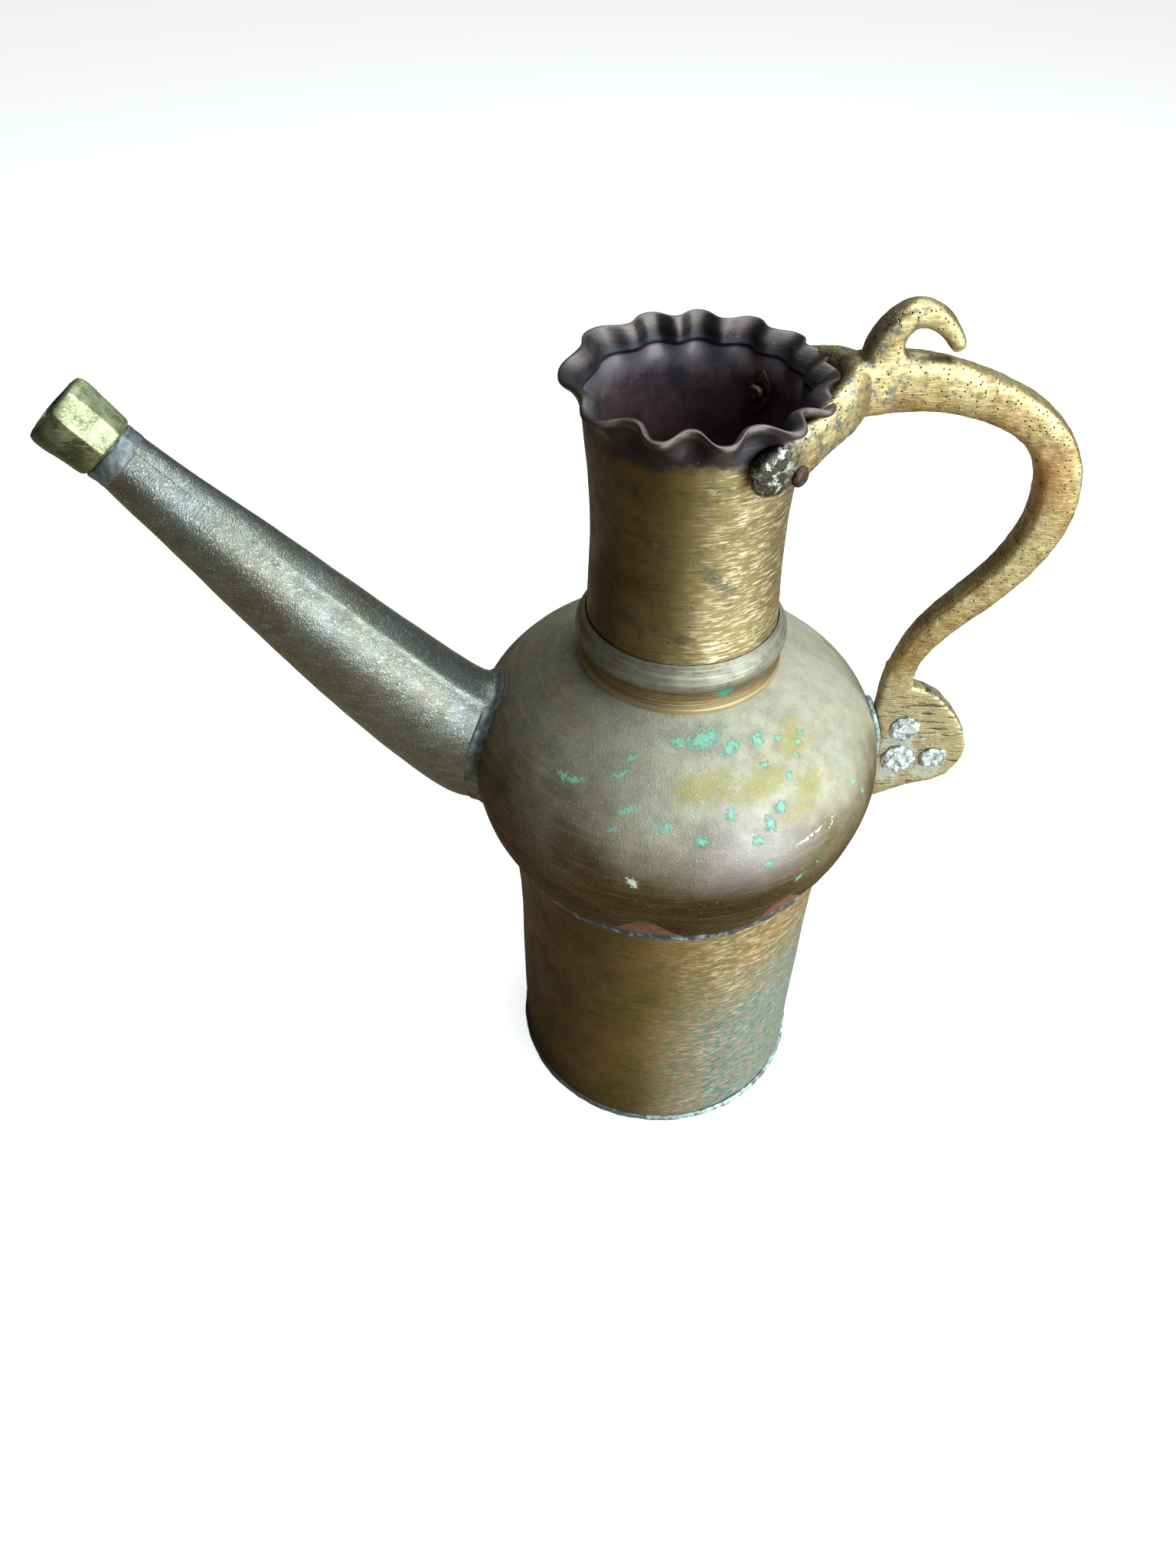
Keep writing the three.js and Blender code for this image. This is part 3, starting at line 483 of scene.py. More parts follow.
bulb = turned("bulb", BULB_OUTLINE, ROUND_SIDES)
outwards(bulb)
finish_with(bulb, "SUBSURF", levels=3, render_levels=3)
NICK_TOP = 150.0
LOWER_EDGE = BULB_OUTLINE[0][1]
for point in bulb.data.vertices:
    height = point.co.z / MM
    if height < NICK_TOP:
        bearing = math.degrees(math.atan2(point.co.y, point.co.x))
        raised = height + nick_depth(bearing) * (NICK_TOP - height) / (NICK_TOP - LOWER_EDGE)
        growth = surface_radius(BULB_OUTLINE, raised) / surface_radius(BULB_OUTLINE, height)
        point.co = Vector((point.co.x * growth, point.co.y * growth, raised * MM))
push(bulb, round_place(180, 66, 138), (1.6, 0, 0.4), 34)
push(bulb, round_place(-8, 68, 142), (1.5, 0, -0.8), 36)
push(bulb, round_place(-98, 65, 140), (0.3, 3.2, 0), 17)
push(bulb, round_place(-56, 65, 139), (-1.7, 2.5, 0), 15)
push(bulb, round_place(-125, 66, 186), (0.4, 0.6, -0.5), 26)
push(bulb, round_place(110, 66, 184), (0.2, -0.8, -0.5), 24)
push(bulb, round_place(70, 70, 150), (-0.3, -0.9, 0), 22)
beat(bulb, 0.8, 24, 3)
mark(bulb, "bare_brass", BULB_OUTLINE, [
    (-84, 194.5, 11, 4, 4), (-66, 193, 12, 4, 8), (-50, 189, 8, 4, 10), (-46, 198, 8, 4, 20),
    (-58, 184, 10, 2.5, 6),
])
mark(bulb, "verdigris", BULB_OUTLINE, [
    (-82, 202.4, 6.5, 2.0, 8), (-93, 202.0, 2.6, 1.5, 0), (-72, 200.4, 4.2, 1.2, 10),
    (-59.5, 200.6, 2.6, 1.5, 30), (-51.5, 199.4, 1.3, 1.2, 0), (-41.5, 198, 1.4, 1.2, 0),
    (-45, 197, 1.3, 1.1, 0), (-48.5, 195.3, 1.4, 1.0, 20), (-31.5, 188.2, 1.1, 1.3, 0),
    (-61.5, 196.2, 1.4, 1.0, 0), (-55, 192.7, 1.4, 1.5, 0), (-61.7, 187.2, 2.2, 1.7, 15),
    (-77, 188.7, 2.2, 2.3, 0), (-86, 183, 2.2, 2.2, 0), (-66.4, 184.3, 2.0, 2.6, 0),
    (-70.5, 181, 2.0, 1.8, 30), (-68, 172.3, 2.8, 1.2, 8), (-95.6, 186.5, 2.4, 1.9, 30),
    (-99.4, 186.7, 2.0, 0.7, 35), (-112.5, 195.4, 4, 0.8, 22), (-110, 198.7, 2.6, 0.7, 12),
    (-128, 190.8, 4.6, 1.2, 4), (-107.5, 188.6, 4.2, 0.8, 26), (-110, 183.6, 2, 0.7, 30),
    (-33.8, 180.8, 1.0, 2.2, 0), (-30.6, 175, 0.9, 2.2, 0), (-58, 160, 2.2, 1.0, 35),
    (-52, 163, 1.5, 0.8, 30), (60, 190, 5, 2.2, 12), (76, 195, 3, 1.6, -8), (95, 184, 2.6, 2.2, 0),
    (130, 192, 4.5, 1.4, 20), (28, 186, 2, 2.4, 0),
])
mark(bulb, "chalk", BULB_OUTLINE, [
    (-55, 175.5, 8, 0.7, 10), (-46, 176, 4, 0.6, 40), (-103.4, 167.4, 1.8, 2.3, 30),
    (-136, 131, 5, 0.7, -20),
])
finish_with(bulb, "SOLIDIFY", thickness=SHEET * MM, offset=-1.0)
smooth_by_angle(bulb, 40)

# Matt grey-brown metal under dust, with painted shade on its left and under its belly, a painted
# highlight on the belly, and bare yellow and mint spots.
bulb_look, tree, shader = new_material("dusty_brass_patina")
place = places_in_mm(tree)
height = add(tree, "SeparateXYZ", {0: place}).outputs[2]
long_strokes = add(tree, "Mapping", {"Vector": place, "Scale": (0.04, 0.04, 0.9)}).outputs[0]
strokes = add(tree, "TexNoise", {
    "Vector": long_strokes, "Scale": 1.0, "Detail": 6.0, "Roughness": 0.75,
}).outputs["Fac"]
broad = add(tree, "TexNoise", {
    "Vector": place, "Scale": 1 / 30, "Detail": 4.0, "Roughness": 0.6,
}).outputs["Fac"]
mottle = add(tree, "TexNoise", {
    "Vector": place, "Scale": 1 / 6, "Detail": 8.0, "Roughness": 0.7,
}).outputs["Fac"]
grit = add(tree, "TexNoise", {
    "Vector": place, "Scale": 1 / 0.55, "Detail": 2.0, "Roughness": 0.5,
}).outputs["Fac"]
wander = add(tree, "Math", {0: broad, 1: 60.0, 2: height}, operation="MULTIPLY_ADD").outputs[0]
dust = add(tree, "MapRange", {"Value": wander, "From Min": 188.0, "From Max": 222.0}).outputs[0]
base = add(tree, "Mix", {
    0: dust, 6: hex_colour("#665433"), 7: hex_colour("#948f79"),
}, data_type="RGBA").outputs[2]
split = add(tree, "SeparateXYZ", {0: place})
# Painted shade: darker brown on the bulb's left side and under its belly, where less light falls.
across = add(tree, "Math", {0: broad, 1: 50.0, 2: split.outputs[0]}, operation="MULTIPLY_ADD").outputs[0]
painted_side_shade = add(tree, "MapRange", {
    "Value": across, "From Min": 22.0, "From Max": -38.0, "To Max": 0.8,
}).outputs[0]
painted_under_shade = add(tree, "MapRange", {
    "Value": wander, "From Min": 216.0, "From Max": 176.0, "To Max": 0.85,
}).outputs[0]
painted_shade = add(tree, "Math", {0: painted_side_shade, 1: painted_under_shade}, operation="MAXIMUM").outputs[0]
cloud = add(tree, "MapRange", {
    "Value": mottle, "From Min": 0.4, "From Max": 0.68, "To Max": 0.5,
}).outputs[0]
base = add(tree, "Mix", {0: cloud, 6: base, 7: hex_colour("#5f5a47")}, data_type="RGBA").outputs[2]
base = add(tree, "Mix", {0: painted_shade, 6: base, 7: hex_colour("#33250a")}, data_type="RGBA").outputs[2]
ring = add(tree, "MapRange", {
    "Value": strokes, "From Min": 0.5, "From Max": 0.68, "To Max": 0.45,
}).outputs[0]
base = add(tree, "Mix", {0: ring, 6: base, 7: hex_colour("#96794a")}, data_type="RGBA").outputs[2]
crumbs = add(tree, "TexNoise", {
    "Vector": place, "Scale": 1 / 1.5, "Detail": 6.0, "Roughness": 0.7,
}).outputs["Fac"]
ragged = add(tree, "MapRange", {
    "Value": crumbs, "From Min": 0.3, "From Max": 0.7, "To Min": -0.65, "To Max": 1.1,
}).outputs[0]
yellow = spotted(tree, "bare_brass", ragged)
yellow = add(tree, "Math", {0: yellow, 1: 0.7}, operation="MULTIPLY").outputs[0]
base = add(tree, "Mix", {0: yellow, 6: base, 7: hex_colour("#837838")}, data_type="RGBA").outputs[2]
# Painted highlight: a soft pale lilac glow on the belly, right of front, where the window is reflected.
painted_highlight_at = {"Vector": place, "Location": round_place(-72, 68, 176), "Scale": (26, 26, 17)}
painted_highlight_from = add(tree, "Mapping", painted_highlight_at, vector_type="TEXTURE")
painted_highlight = add(tree, "VectorMath", {0: painted_highlight_from.outputs[0]}, operation="LENGTH").outputs["Value"]
painted_highlight = add(tree, "MapRange", {
    "Value": painted_highlight, "From Min": 1.1, "From Max": 0.2, "To Max": 0.5,
}).outputs[0]
base = add(tree, "Mix", {0: painted_highlight, 6: base, 7: hex_colour("#a39a9c")}, data_type="RGBA").outputs[2]
fleck = add(tree, "MapRange", {
    "Value": grit, "From Min": 0.66, "From Max": 0.72, "To Max": 0.6,
}).outputs[0]
base = add(tree, "Mix", {0: fleck, 6: base, 7: hex_colour("#b5b49c")}, data_type="RGBA").outputs[2]
green = spotted(tree, "verdigris", ragged)
green = add(tree, "Math", {0: green, 1: 0.8}, operation="MULTIPLY").outputs[0]
mint = add(tree, "Mix", {
    0: crumbs, 6: hex_colour("#33715f"), 7: hex_colour("#7cc3a4"),
}, data_type="RGBA").outputs[2]
base = add(tree, "Mix", {0: green, 6: base, 7: mint}, data_type="RGBA").outputs[2]
chalk = spotted(tree, "chalk", ragged)
chalk = add(tree, "Math", {0: chalk, 1: 0.7}, operation="MULTIPLY").outputs[0]
base = add(tree, "Mix", {0: chalk, 6: base, 7: hex_colour("#d4dccd")}, data_type="RGBA").outputs[2]
covered = add(tree, "Math", {0: green, 1: chalk}, operation="MAXIMUM").outputs[0]
bare_metal = add(tree, "MapRange", {"Value": dust, "To Min": 1.0, "To Max": 0.4}).outputs[0]
metal = add(tree, "MapRange", {"Value": covered, "To Min": bare_metal, "To Max": 0.05}).outputs[0]
rough = add(tree, "MapRange", {
    "Value": mottle, "From Min": 0.3, "From Max": 0.7, "To Min": 0.56, "To Max": 0.74,
}).outputs[0]
relief = add(tree, "Math", {0: strokes, 1: 0.8, 2: grit}, operation="MULTIPLY_ADD").outputs[0]
relief = add(tree, "Math", {0: covered, 1: 1.5, 2: relief}, operation="MULTIPLY_ADD").outputs[0]
dress(tree, shader, base, metallic=metal, roughness=rough,
      relief=relief, strength=0.6, depth=0.35)
hand_over(bulb, bulb_look, "dusty_brass", "upper_body")

# ---- Brazed seam -------------------------------------------------------------------------------
# Copper braze under the bulb's lapped edge. It shows as a dark line all round, and as two red
# triangles in the nicks.

BRAZE_OUTLINE = [
    (59.3, 125.8), (60.6, 126.4), (61.5, 127.8), (61.3, 129.4), (62.0, 134), (62.9, 139.0),
    (63.0, 141.5),
]
braze = turned("seam_braze", BRAZE_OUTLINE, 2 * ROUND_SIDES)
outwards(braze)
finish_with(braze, "SUBSURF", levels=1, render_levels=1)
beat(braze, 1.3, 4.5, 4)
finish_with(braze, "SOLIDIFY", thickness=0.5 * MM, offset=-1.0)
smooth_by_angle(braze, 60)
# Reddish brown in the nicks; below the lap it is a dark line with crumbs of grey.
copper_look, tree, shader = new_material("red_copper_braze")
place = places_in_mm(tree)
stain = add(tree, "TexNoise", {
    "Vector": place, "Scale": 1 / 3, "Detail": 6.0, "Roughness": 0.7,
}).outputs["Fac"]
share = add(tree, "MapRange", {"Value": stain, "From Min": 0.4, "From Max": 0.68}).outputs[0]
base = add(tree, "Mix", {
    0: share, 6: hex_colour("#754335"), 7: hex_colour("#452820"),
}, data_type="RGBA").outputs[2]
height = add(tree, "SeparateXYZ", {0: place}).outputs[2]
line = add(tree, "MapRange", {"Value": height, "From Min": 131.6, "From Max": 130.0}).outputs[0]
ash = add(tree, "MapRange", {"Value": stain, "From Min": 0.5, "From Max": 0.66}).outputs[0]
crusty = add(tree, "Mix", {
    0: ash, 6: hex_colour("#33383a"), 7: hex_colour("#8a938f"),
}, data_type="RGBA").outputs[2]
base = add(tree, "Mix", {0: line, 6: base, 7: crusty}, data_type="RGBA").outputs[2]
dress(tree, shader, base, metallic=0.35, roughness=0.55,
      relief=stain, strength=0.5, depth=0.4)
hand_over(braze, copper_look, "red_copper", "seam_solder")

# ---- Neck and rim ------------------------------------------------------------------------------
# A waisted brass tube that flares at the top. Its edge is folded in over itself and pinched by hand
# into thirteen uneven lobes; the heat of the work left it purple-brown.

NECK_OUTSIDE = [
    (31.2, 207.5), (31.2, 214), (31.0, 221), (30.2, 235), (29.6, 250), (29.9, 264), (30.9, 277),
    (32.0, 286), (32.2, 290.8), (32.9, 294.6), (34.2, 297.4), (36.3, 299.3), (37.5, 299.9),
]
NECK_INSIDE = [
    (38.2, 300.8), (38.1, 301.9), (37.0, 302.4), (35.7, 301.8), (34.0, 300.5), (32.6, 298.7),
    (31.8, 297.3), (31.3, 296.9), (31.2, 296.3), (31.6, 296.0), (31.6, 294.6), (31.3, 292.0),
    (30.8, 286), (29.7, 277), (28.7, 264), (28.4, 250), (29.0, 235), (29.8, 221), (30.0, 207.5),
]
# Bearing of each lobe, how far it reaches out past the mean rim, how far it hangs, and how deep the
# hollow beside it is pinched in
LOBES = [
    (0, 1.3, 0.6, 1.6), (17, 1.4, 0.5, 1.5), (37, 1.8, 0.3, 1.9), (61, 2.4, -0.1, 2.4),
    (86, 2.6, -0.1, 2.6), (108, 2.4, -0.1, 2.5), (137, 2.2, 0.0, 2.3), (179, 0.6, 0.5, 1.8),
    (221, 2.0, 0.8, 2.6), (251, 2.8, 1.0, 3.1), (276, 3.0, 1.1, 3.1), (308, 2.8, 1.1, 2.9),
    (330, 2.0, 0.9, 2.2),
]
HOLLOW_RISE = 0.3
FLUTE_FOOT = 290.5
RIM_TOP = 300.5


def lobe_move(bearing):
    """How far out and how far down the rim goes at a bearing, as a wave from lobe to hollow to lobe."""
    turn = bearing % 360
    after = next((i for i, lobe in enumerate(LOBES) if lobe[0] > turn), 0)
    before = after - 1
    start, end = LOBES[before], LOBES[after]
    span = (end[0] - start[0]) % 360
    share = ((turn - start[0]) % 360) / span
    wave = 0.5 + 0.5 * math.cos(2 * math.pi * share)
    sharpness = 0.95 - 0.1 * math.sin(math.radians(turn))
    wave = wave ** sharpness
    wave = 0.4 * wave + 0.6 * wave * wave * (3 - 2 * wave)
    blend = 0.5 - 0.5 * math.cos(math.pi * share)
    reach = start[1] + (end[1] - start[1]) * blend
    hang = start[2] + (end[2] - start[2]) * blend
    pinch = start[3] + (end[3] - start[3]) * blend
    return wave * (reach + pinch) - pinch, HOLLOW_RISE - wave * (hang + HOLLOW_RISE)


def join_ends(piece):
    """Closes a piece by a band of faces from its last ring back to its first."""
    bpy.ops.object.mode_set(mode="EDIT")
    bpy.ops.mesh.select_all(action="SELECT")
    bpy.ops.mesh.region_to_loop()
    bpy.ops.mesh.bridge_edge_loops()
    bpy.ops.object.mode_set(mode="OBJECT")


neck = turned("neck_tube", NECK_OUTSIDE + NECK_INSIDE, 2 * ROUND_SIDES)
join_ends(neck)
outwards(neck)
finish_with(neck, "SUBSURF", levels=1, render_levels=1)
for point in neck.data.vertices:
    height = point.co.z / MM
    if height > FLUTE_FOOT:
        share = min(1.0, (height - FLUTE_FOOT) / (RIM_TOP - FLUTE_FOOT))
        share = share * share * (3 - 2 * share)
        radius = math.hypot(point.co.x, point.co.y) / MM
        out, rise = lobe_move(math.degrees(math.atan2(point.co.y, point.co.x)))
        growth = 1 + share * out / radius
        point.co = Vector((point.co.x * growth, point.co.y * growth, (height + share * rise) * MM))
finish_with(neck, "SUBSURF", levels=1, render_levels=1)
push(neck, round_place(-60, 30, 238), (-0.3, 0.5, 0), 16)
push(neck, round_place(150, 30, 262), (0.5, -0.3, 0), 18)
beat(neck, 0.5, 16, 5)
mark(neck, "tarnish", NECK_OUTSIDE[:9], [
    (-76, 252, 10, 2.6, -42), (-95, 233, 5, 2, 0), (-60, 270, 4, 1.6, 30), (-110, 262, 6, 2, -20),
    (-84, 282, 7, 1, 5), (-100, 223, 5, 1.2, 0), (-48, 240, 4, 1.5, -30), (60, 250, 8, 3, 30),
    (120, 240, 6, 3, 0), (165, 262, 5, 2, -30),
])
smooth_by_angle(neck, 50)

# The same sheet, tarnished in spots and burnt plum at the flare, its lip rubbed to grey metal.
neck_look = brass_sheet("browned_brass_neck", "#8d7a52", 31.0, 60.0)
tree = neck_look.node_tree
shader = tree.nodes["Principled BSDF"]
place = places_in_mm(tree)
height = add(tree, "SeparateXYZ", {0: place}).outputs[2]
smoke = add(tree, "TexNoise", {
    "Vector": place, "Scale": 1 / 9, "Detail": 5.0, "Roughness": 0.65,
}).outputs["Fac"]
lifted = add(tree, "Math", {0: smoke, 1: 14.0, 2: height}, operation="MULTIPLY_ADD").outputs[0]
burnt = add(tree, "MapRange", {"Value": lifted, "From Min": 294.5, "From Max": 298.0}).outputs[0]
oxide = add(tree, "Mix", {
    0: smoke, 6: hex_colour("#29262c"), 7: hex_colour("#433b3a"),
}, data_type="RGBA").outputs[2]
was = shader.inputs["Base Color"].links[0].from_socket
crumbs = add(tree, "TexNoise", {
    "Vector": place, "Scale": 1 / 2, "Detail": 6.0, "Roughness": 0.7,
}).outputs["Fac"]
ragged = add(tree, "MapRange", {
    "Value": crumbs, "From Min": 0.3, "From Max": 0.7, "To Min": -0.5, "To Max": 0.9,
}).outputs[0]
dulled = add(tree, "Math", {0: spotted(tree, "tarnish", ragged), 1: 0.6}, operation="MULTIPLY").outputs[0]
was = add(tree, "Mix", {0: dulled, 6: was, 7: hex_colour("#454a45")}, data_type="RGBA").outputs[2]
base = add(tree, "Mix", {0: burnt, 6: was, 7: oxide}, data_type="RGBA").outputs[2]
lip = add(tree, "MapRange", {
    "Value": height, "From Min": 298.8, "From Max": 300.6, "To Max": 0.8,
}).outputs[0]
edge_metal = add(tree, "Mix", {
    0: smoke, 6: hex_colour("#5b5653"), 7: hex_colour("#594b40"),
}, data_type="RGBA").outputs[2]
base = add(tree, "Mix", {0: lip, 6: base, 7: edge_metal}, data_type="RGBA").outputs[2]
tree.links.new(base, shader.inputs["Base Color"])

# Dark plum soot, turning lilac at the flare, with a black line of painted shade in the crease.
inside_look, tree, shader = new_material("sooted_brass_inside")
place = places_in_mm(tree)
height = add(tree, "SeparateXYZ", {0: place}).outputs[2]
smoke = add(tree, "TexNoise", {
    "Vector": place, "Scale": 1 / 8, "Detail": 6.0, "Roughness": 0.65,
}).outputs["Fac"]
share = add(tree, "MapRange", {"Value": smoke, "From Min": 0.35, "From Max": 0.68}).outputs[0]
soot = add(tree, "Mix", {
    0: share, 6: hex_colour("#2f282d"), 7: hex_colour("#5f4241"),
}, data_type="RGBA").outputs[2]
lilac = add(tree, "Mix", {
    0: share, 6: hex_colour("#6a6a70"), 7: hex_colour("#75635f"),
}, data_type="RGBA").outputs[2]
lifted = add(tree, "Math", {0: smoke, 1: 14.0, 2: height}, operation="MULTIPLY_ADD").outputs[0]
band = add(tree, "MapRange", {"Value": lifted, "From Min": 293.0, "From Max": 300.0}).outputs[0]
base = add(tree, "Mix", {0: band, 6: soot, 7: lilac}, data_type="RGBA").outputs[2]
# Painted shade: a black line in the crease under the folded lip.
painted_crease_shade = add(tree, "MapRange", {"Value": height, "From Min": 295.2, "From Max": 296.0}).outputs[0]
base = add(tree, "Mix", {0: painted_crease_shade, 6: base, 7: hex_colour("#1d1a1c")}, data_type="RGBA").outputs[2]
dress(tree, shader, base, metallic=0.45, roughness=0.5,
      relief=smoke, strength=0.3, depth=0.5)
SOOT_TOP = 298.0
neck.data.materials.append(neck_look)
neck.data.materials.append(inside_look)
for face in neck.data.polygons:
    facing_axis = Vector((face.normal.x, face.normal.y)).dot(Vector((face.center.x, face.center.y))) < 0
    if facing_axis and face.center.z < SOOT_TOP * MM:
        face.material_index = 1
hand_over(neck, None, "sheet_brass", "neck")

# ---- Collar ------------------------------------------------------------------------------------
# A turned brass ring where the neck stands on the bulb: a soft cove, a round bead, a groove and a
# thin double edge at its foot, soldered to both.

COLLAR_OUTLINE = [
    (31.1, 225.0), (31.4, 223.0), (32.1, 221.6), (33.3, 220.2), (34.3, 218.6), (34.6, 216.8),
    (34.1, 215.2), (33.1, 214.2), (32.7, 213.2), (32.6, 211.4), (32.7, 210.0), (33.0, 209.0),
    (33.3, 208.3), (33.1, 207.8), (33.4, 207.2), (33.5, 206.6), (33.5, 204.6), (31.3, 204.6),
]
collar = turned("collar_ring", COLLAR_OUTLINE, ROUND_SIDES)
join_ends(collar)
outwards(collar)
finish_with(collar, "SUBSURF", levels=2, render_levels=2)
beat(collar, 0.25, 9, 6)
mark(collar, "verdigris", NECK_OUTSIDE, [(-67.6, 212.6, 3.0, 2.6, 0), (62, 212, 4, 2, 0)])
smooth_by_angle(collar, 60)
# Dusty grey above the bead, brown below, and bright strokes where it was turned.
collar_look, tree, shader = new_material("dusty_brass_collar")
place = places_in_mm(tree)
height = add(tree, "SeparateXYZ", {0: place}).outputs[2]
rings = add(tree, "Mapping", {"Vector": place, "Scale": (0.04, 0.04, 1.8)}).outputs[0]
strokes = add(tree, "TexNoise", {
    "Vector": rings, "Scale": 1.0, "Detail": 5.0, "Roughness": 0.75,
}).outputs["Fac"]
mottle = add(tree, "TexNoise", {
    "Vector": place, "Scale": 1 / 5, "Detail": 7.0, "Roughness": 0.7,
}).outputs["Fac"]
top = add(tree, "MapRange", {"Value": height, "From Min": 213.6, "From Max": 215.2}).outputs[0]
base = add(tree, "Mix", {
    0: top, 6: hex_colour("#6b5635"), 7: hex_colour("#77776a"),
}, data_type="RGBA").outputs[2]
share = add(tree, "MapRange", {"Value": mottle, "From Min": 0.45, "From Max": 0.7}).outputs[0]
base = add(tree, "Mix", {0: share, 6: base, 7: hex_colour("#54503c")}, data_type="RGBA").outputs[2]
share = add(tree, "MapRange", {
    "Value": strokes, "From Min": 0.5, "From Max": 0.66, "To Max": 0.6,
}).outputs[0]
base = add(tree, "Mix", {0: share, 6: base, 7: hex_colour("#c0a273")}, data_type="RGBA").outputs[2]
share = add(tree, "MapRange", {
    "Value": height, "From Min": 208.8, "From Max": 208.2, "To Max": 0.3,
}).outputs[0]
base = add(tree, "Mix", {0: share, 6: base, 7: hex_colour("#d8c08c")}, data_type="RGBA").outputs[2]
ragged = add(tree, "MapRange", {
    "Value": mottle, "From Min": 0.3, "From Max": 0.7, "To Min": -0.4, "To Max": 0.5,
}).outputs[0]
green = spotted(tree, "verdigris", ragged)
base = add(tree, "Mix", {0: green, 6: base, 7: hex_colour("#3f8d7c")}, data_type="RGBA").outputs[2]
dress(tree, shader, base, metallic=0.75, roughness=0.52,
      relief=strokes, strength=0.3, depth=0.25)
hand_over(collar, collar_look, "dusty_brass", "neck_collar")

# ---- Spout -------------------------------------------------------------------------------------
# A long cone rolled from one sheet of copper and closed by a lap down its upper side. Its lower end
# is shaped to the bulb, with a round heel underneath. Dark brown-grey oxide, satin.

# Upper and lower edge of the cone in the plane y = 0, as (x, z), and half its width across that plane
SPOUT_STATIONS = [
    ((-162.6, 284.8), (-175.0, 272.2), 8.5),
    ((-149.8, 270.9), (-163.4, 255.0), 10.2),
    ((-131.0, 254.0), (-148.5, 232.6), 13.0),
    ((-113.5, 236.6), (-133.6, 209.6), 15.3),
    ((-97.0, 220.6), (-118.2, 187.6), 17.0),
    ((-84.0, 208.2), (-103.2, 168.0), 18.2),
    ((-75.0, 199.8), (-91.2, 154.6), 19.0),
    ((-68.5, 194.2), (-83.0, 146.4), 19.4),
    ((-64.0, 191.0), (-76.0, 142.4), 19.6),
    ((-59.0, 189.5), (-65.0, 141.6), 19.6),
]
SPOUT_SIDES = 48
LAP_BEARING = 28.0
LAP_STEP = 0.6


def skinned(name, rings, ends="open"):
    """A tube skinned through rings of points in mm, its ends left open, joined to each other, or capped."""
    count = len(rings[0])
    bpy.ops.object.select_all(action="DESELECT")
    bpy.ops.mesh.primitive_circle_add(vertices=count, radius=10 * MM)
    tube = bpy.context.object
    tube.name = name
    bpy.ops.object.mode_set(mode="EDIT")
    bpy.ops.mesh.select_all(action="SELECT")
    for _ in rings[1:]:
        bpy.ops.mesh.extrude_region_move(TRANSFORM_OT_translate={"value": (0, 0, 10 * MM)})
    if ends != "open":
        bpy.ops.mesh.select_all(action="SELECT")
        bpy.ops.mesh.select_mode(type="EDGE")
        bpy.ops.mesh.region_to_loop()
        if ends == "joined":
            bpy.ops.mesh.bridge_edge_loops()
        else:
            bpy.ops.mesh.edge_face_add()
        bpy.ops.mesh.select_mode(type="VERT")
    bpy.ops.object.mode_set(mode="OBJECT")
    for i, point in enumerate(tube.data.vertices):
        point.co = rings[i // count][i % count] * MM
    outwards(tube)
    return tube


def spout_point(station, turn):
    """A point on the cone's skin, at a turn in degrees from its upper edge towards the front (-Y)."""
    upper, lower, half_width = station
    angle = math.radians(turn)
    middle = [(a + b) / 2 for a, b in zip(upper, lower)]
    arm = [(a - b) / 2 * math.cos(angle) for a, b in zip(upper, lower)]
    return Vector((middle[0] + arm[0], -half_width * math.sin(angle), middle[1] + arm[1]))


def lapped_ring(station):
    """A ring of the cone that overlaps itself: it ends a sheet's step above where it begins."""
    upper, lower, _ = station
    middle = Vector(((upper[0] + lower[0]) / 2, 0, (upper[1] + lower[1]) / 2))
    ring = []
    for side in range(SPOUT_SIDES):
        share = side / (SPOUT_SIDES - 1)
        skin = spout_point(station, LAP_BEARING + 1 + 358 * share)
        ring.append(skin + (skin - middle).normalized() * (LAP_STEP * share ** 5))
    return ring


spout = skinned("spout_cone", [lapped_ring(station) for station in SPOUT_STATIONS])
finish_with(spout, "SUBSURF", levels=3, render_levels=3)
beat(spout, 0.5, 15, 7)
finish_with(spout, "SOLIDIFY", thickness=SHEET * MM, offset=-1.0)
smooth_by_angle(spout, 40)

# Satin dark grey-brown, brushed lengthwise, with pale flecks of dust.
spout_look, tree, shader = new_material("dark_oxidised_copper")
place = places_in_mm(tree)
laid = add(tree, "Mapping", {
    "Vector": place, "Rotation": (0, math.radians(49), 0), "Scale": (0.06, 0.6, 0.6),
}).outputs[0]
strokes = add(tree, "TexNoise", {
    "Vector": laid, "Scale": 1.0, "Detail": 5.0, "Roughness": 0.7,
}).outputs["Fac"]
broad = add(tree, "TexNoise", {
    "Vector": place, "Scale": 1 / 22, "Detail": 5.0, "Roughness": 0.6,
}).outputs["Fac"]
mottle = add(tree, "TexNoise", {
    "Vector": place, "Scale": 1 / 4, "Detail": 8.0, "Roughness": 0.7,
}).outputs["Fac"]
grit = add(tree, "TexNoise", {
    "Vector": place, "Scale": 1 / 0.6, "Detail": 2.0, "Roughness": 0.5,
}).outputs["Fac"]
share = add(tree, "MapRange", {"Value": broad, "From Min": 0.38, "From Max": 0.66}).outputs[0]
base = add(tree, "Mix", {
    0: share, 6: hex_colour("#686a64"), 7: hex_colour("#665f50"),
}, data_type="RGBA").outputs[2]
share = add(tree, "MapRange", {
    "Value": mottle, "From Min": 0.42, "From Max": 0.7, "To Max": 0.6,
}).outputs[0]
base = add(tree, "Mix", {0: share, 6: base, 7: hex_colour("#433f35")}, data_type="RGBA").outputs[2]
share = add(tree, "MapRange", {
    "Value": strokes, "From Min": 0.52, "From Max": 0.7, "To Max": 0.5,
}).outputs[0]
base = add(tree, "Mix", {0: share, 6: base, 7: hex_colour("#8f9394")}, data_type="RGBA").outputs[2]
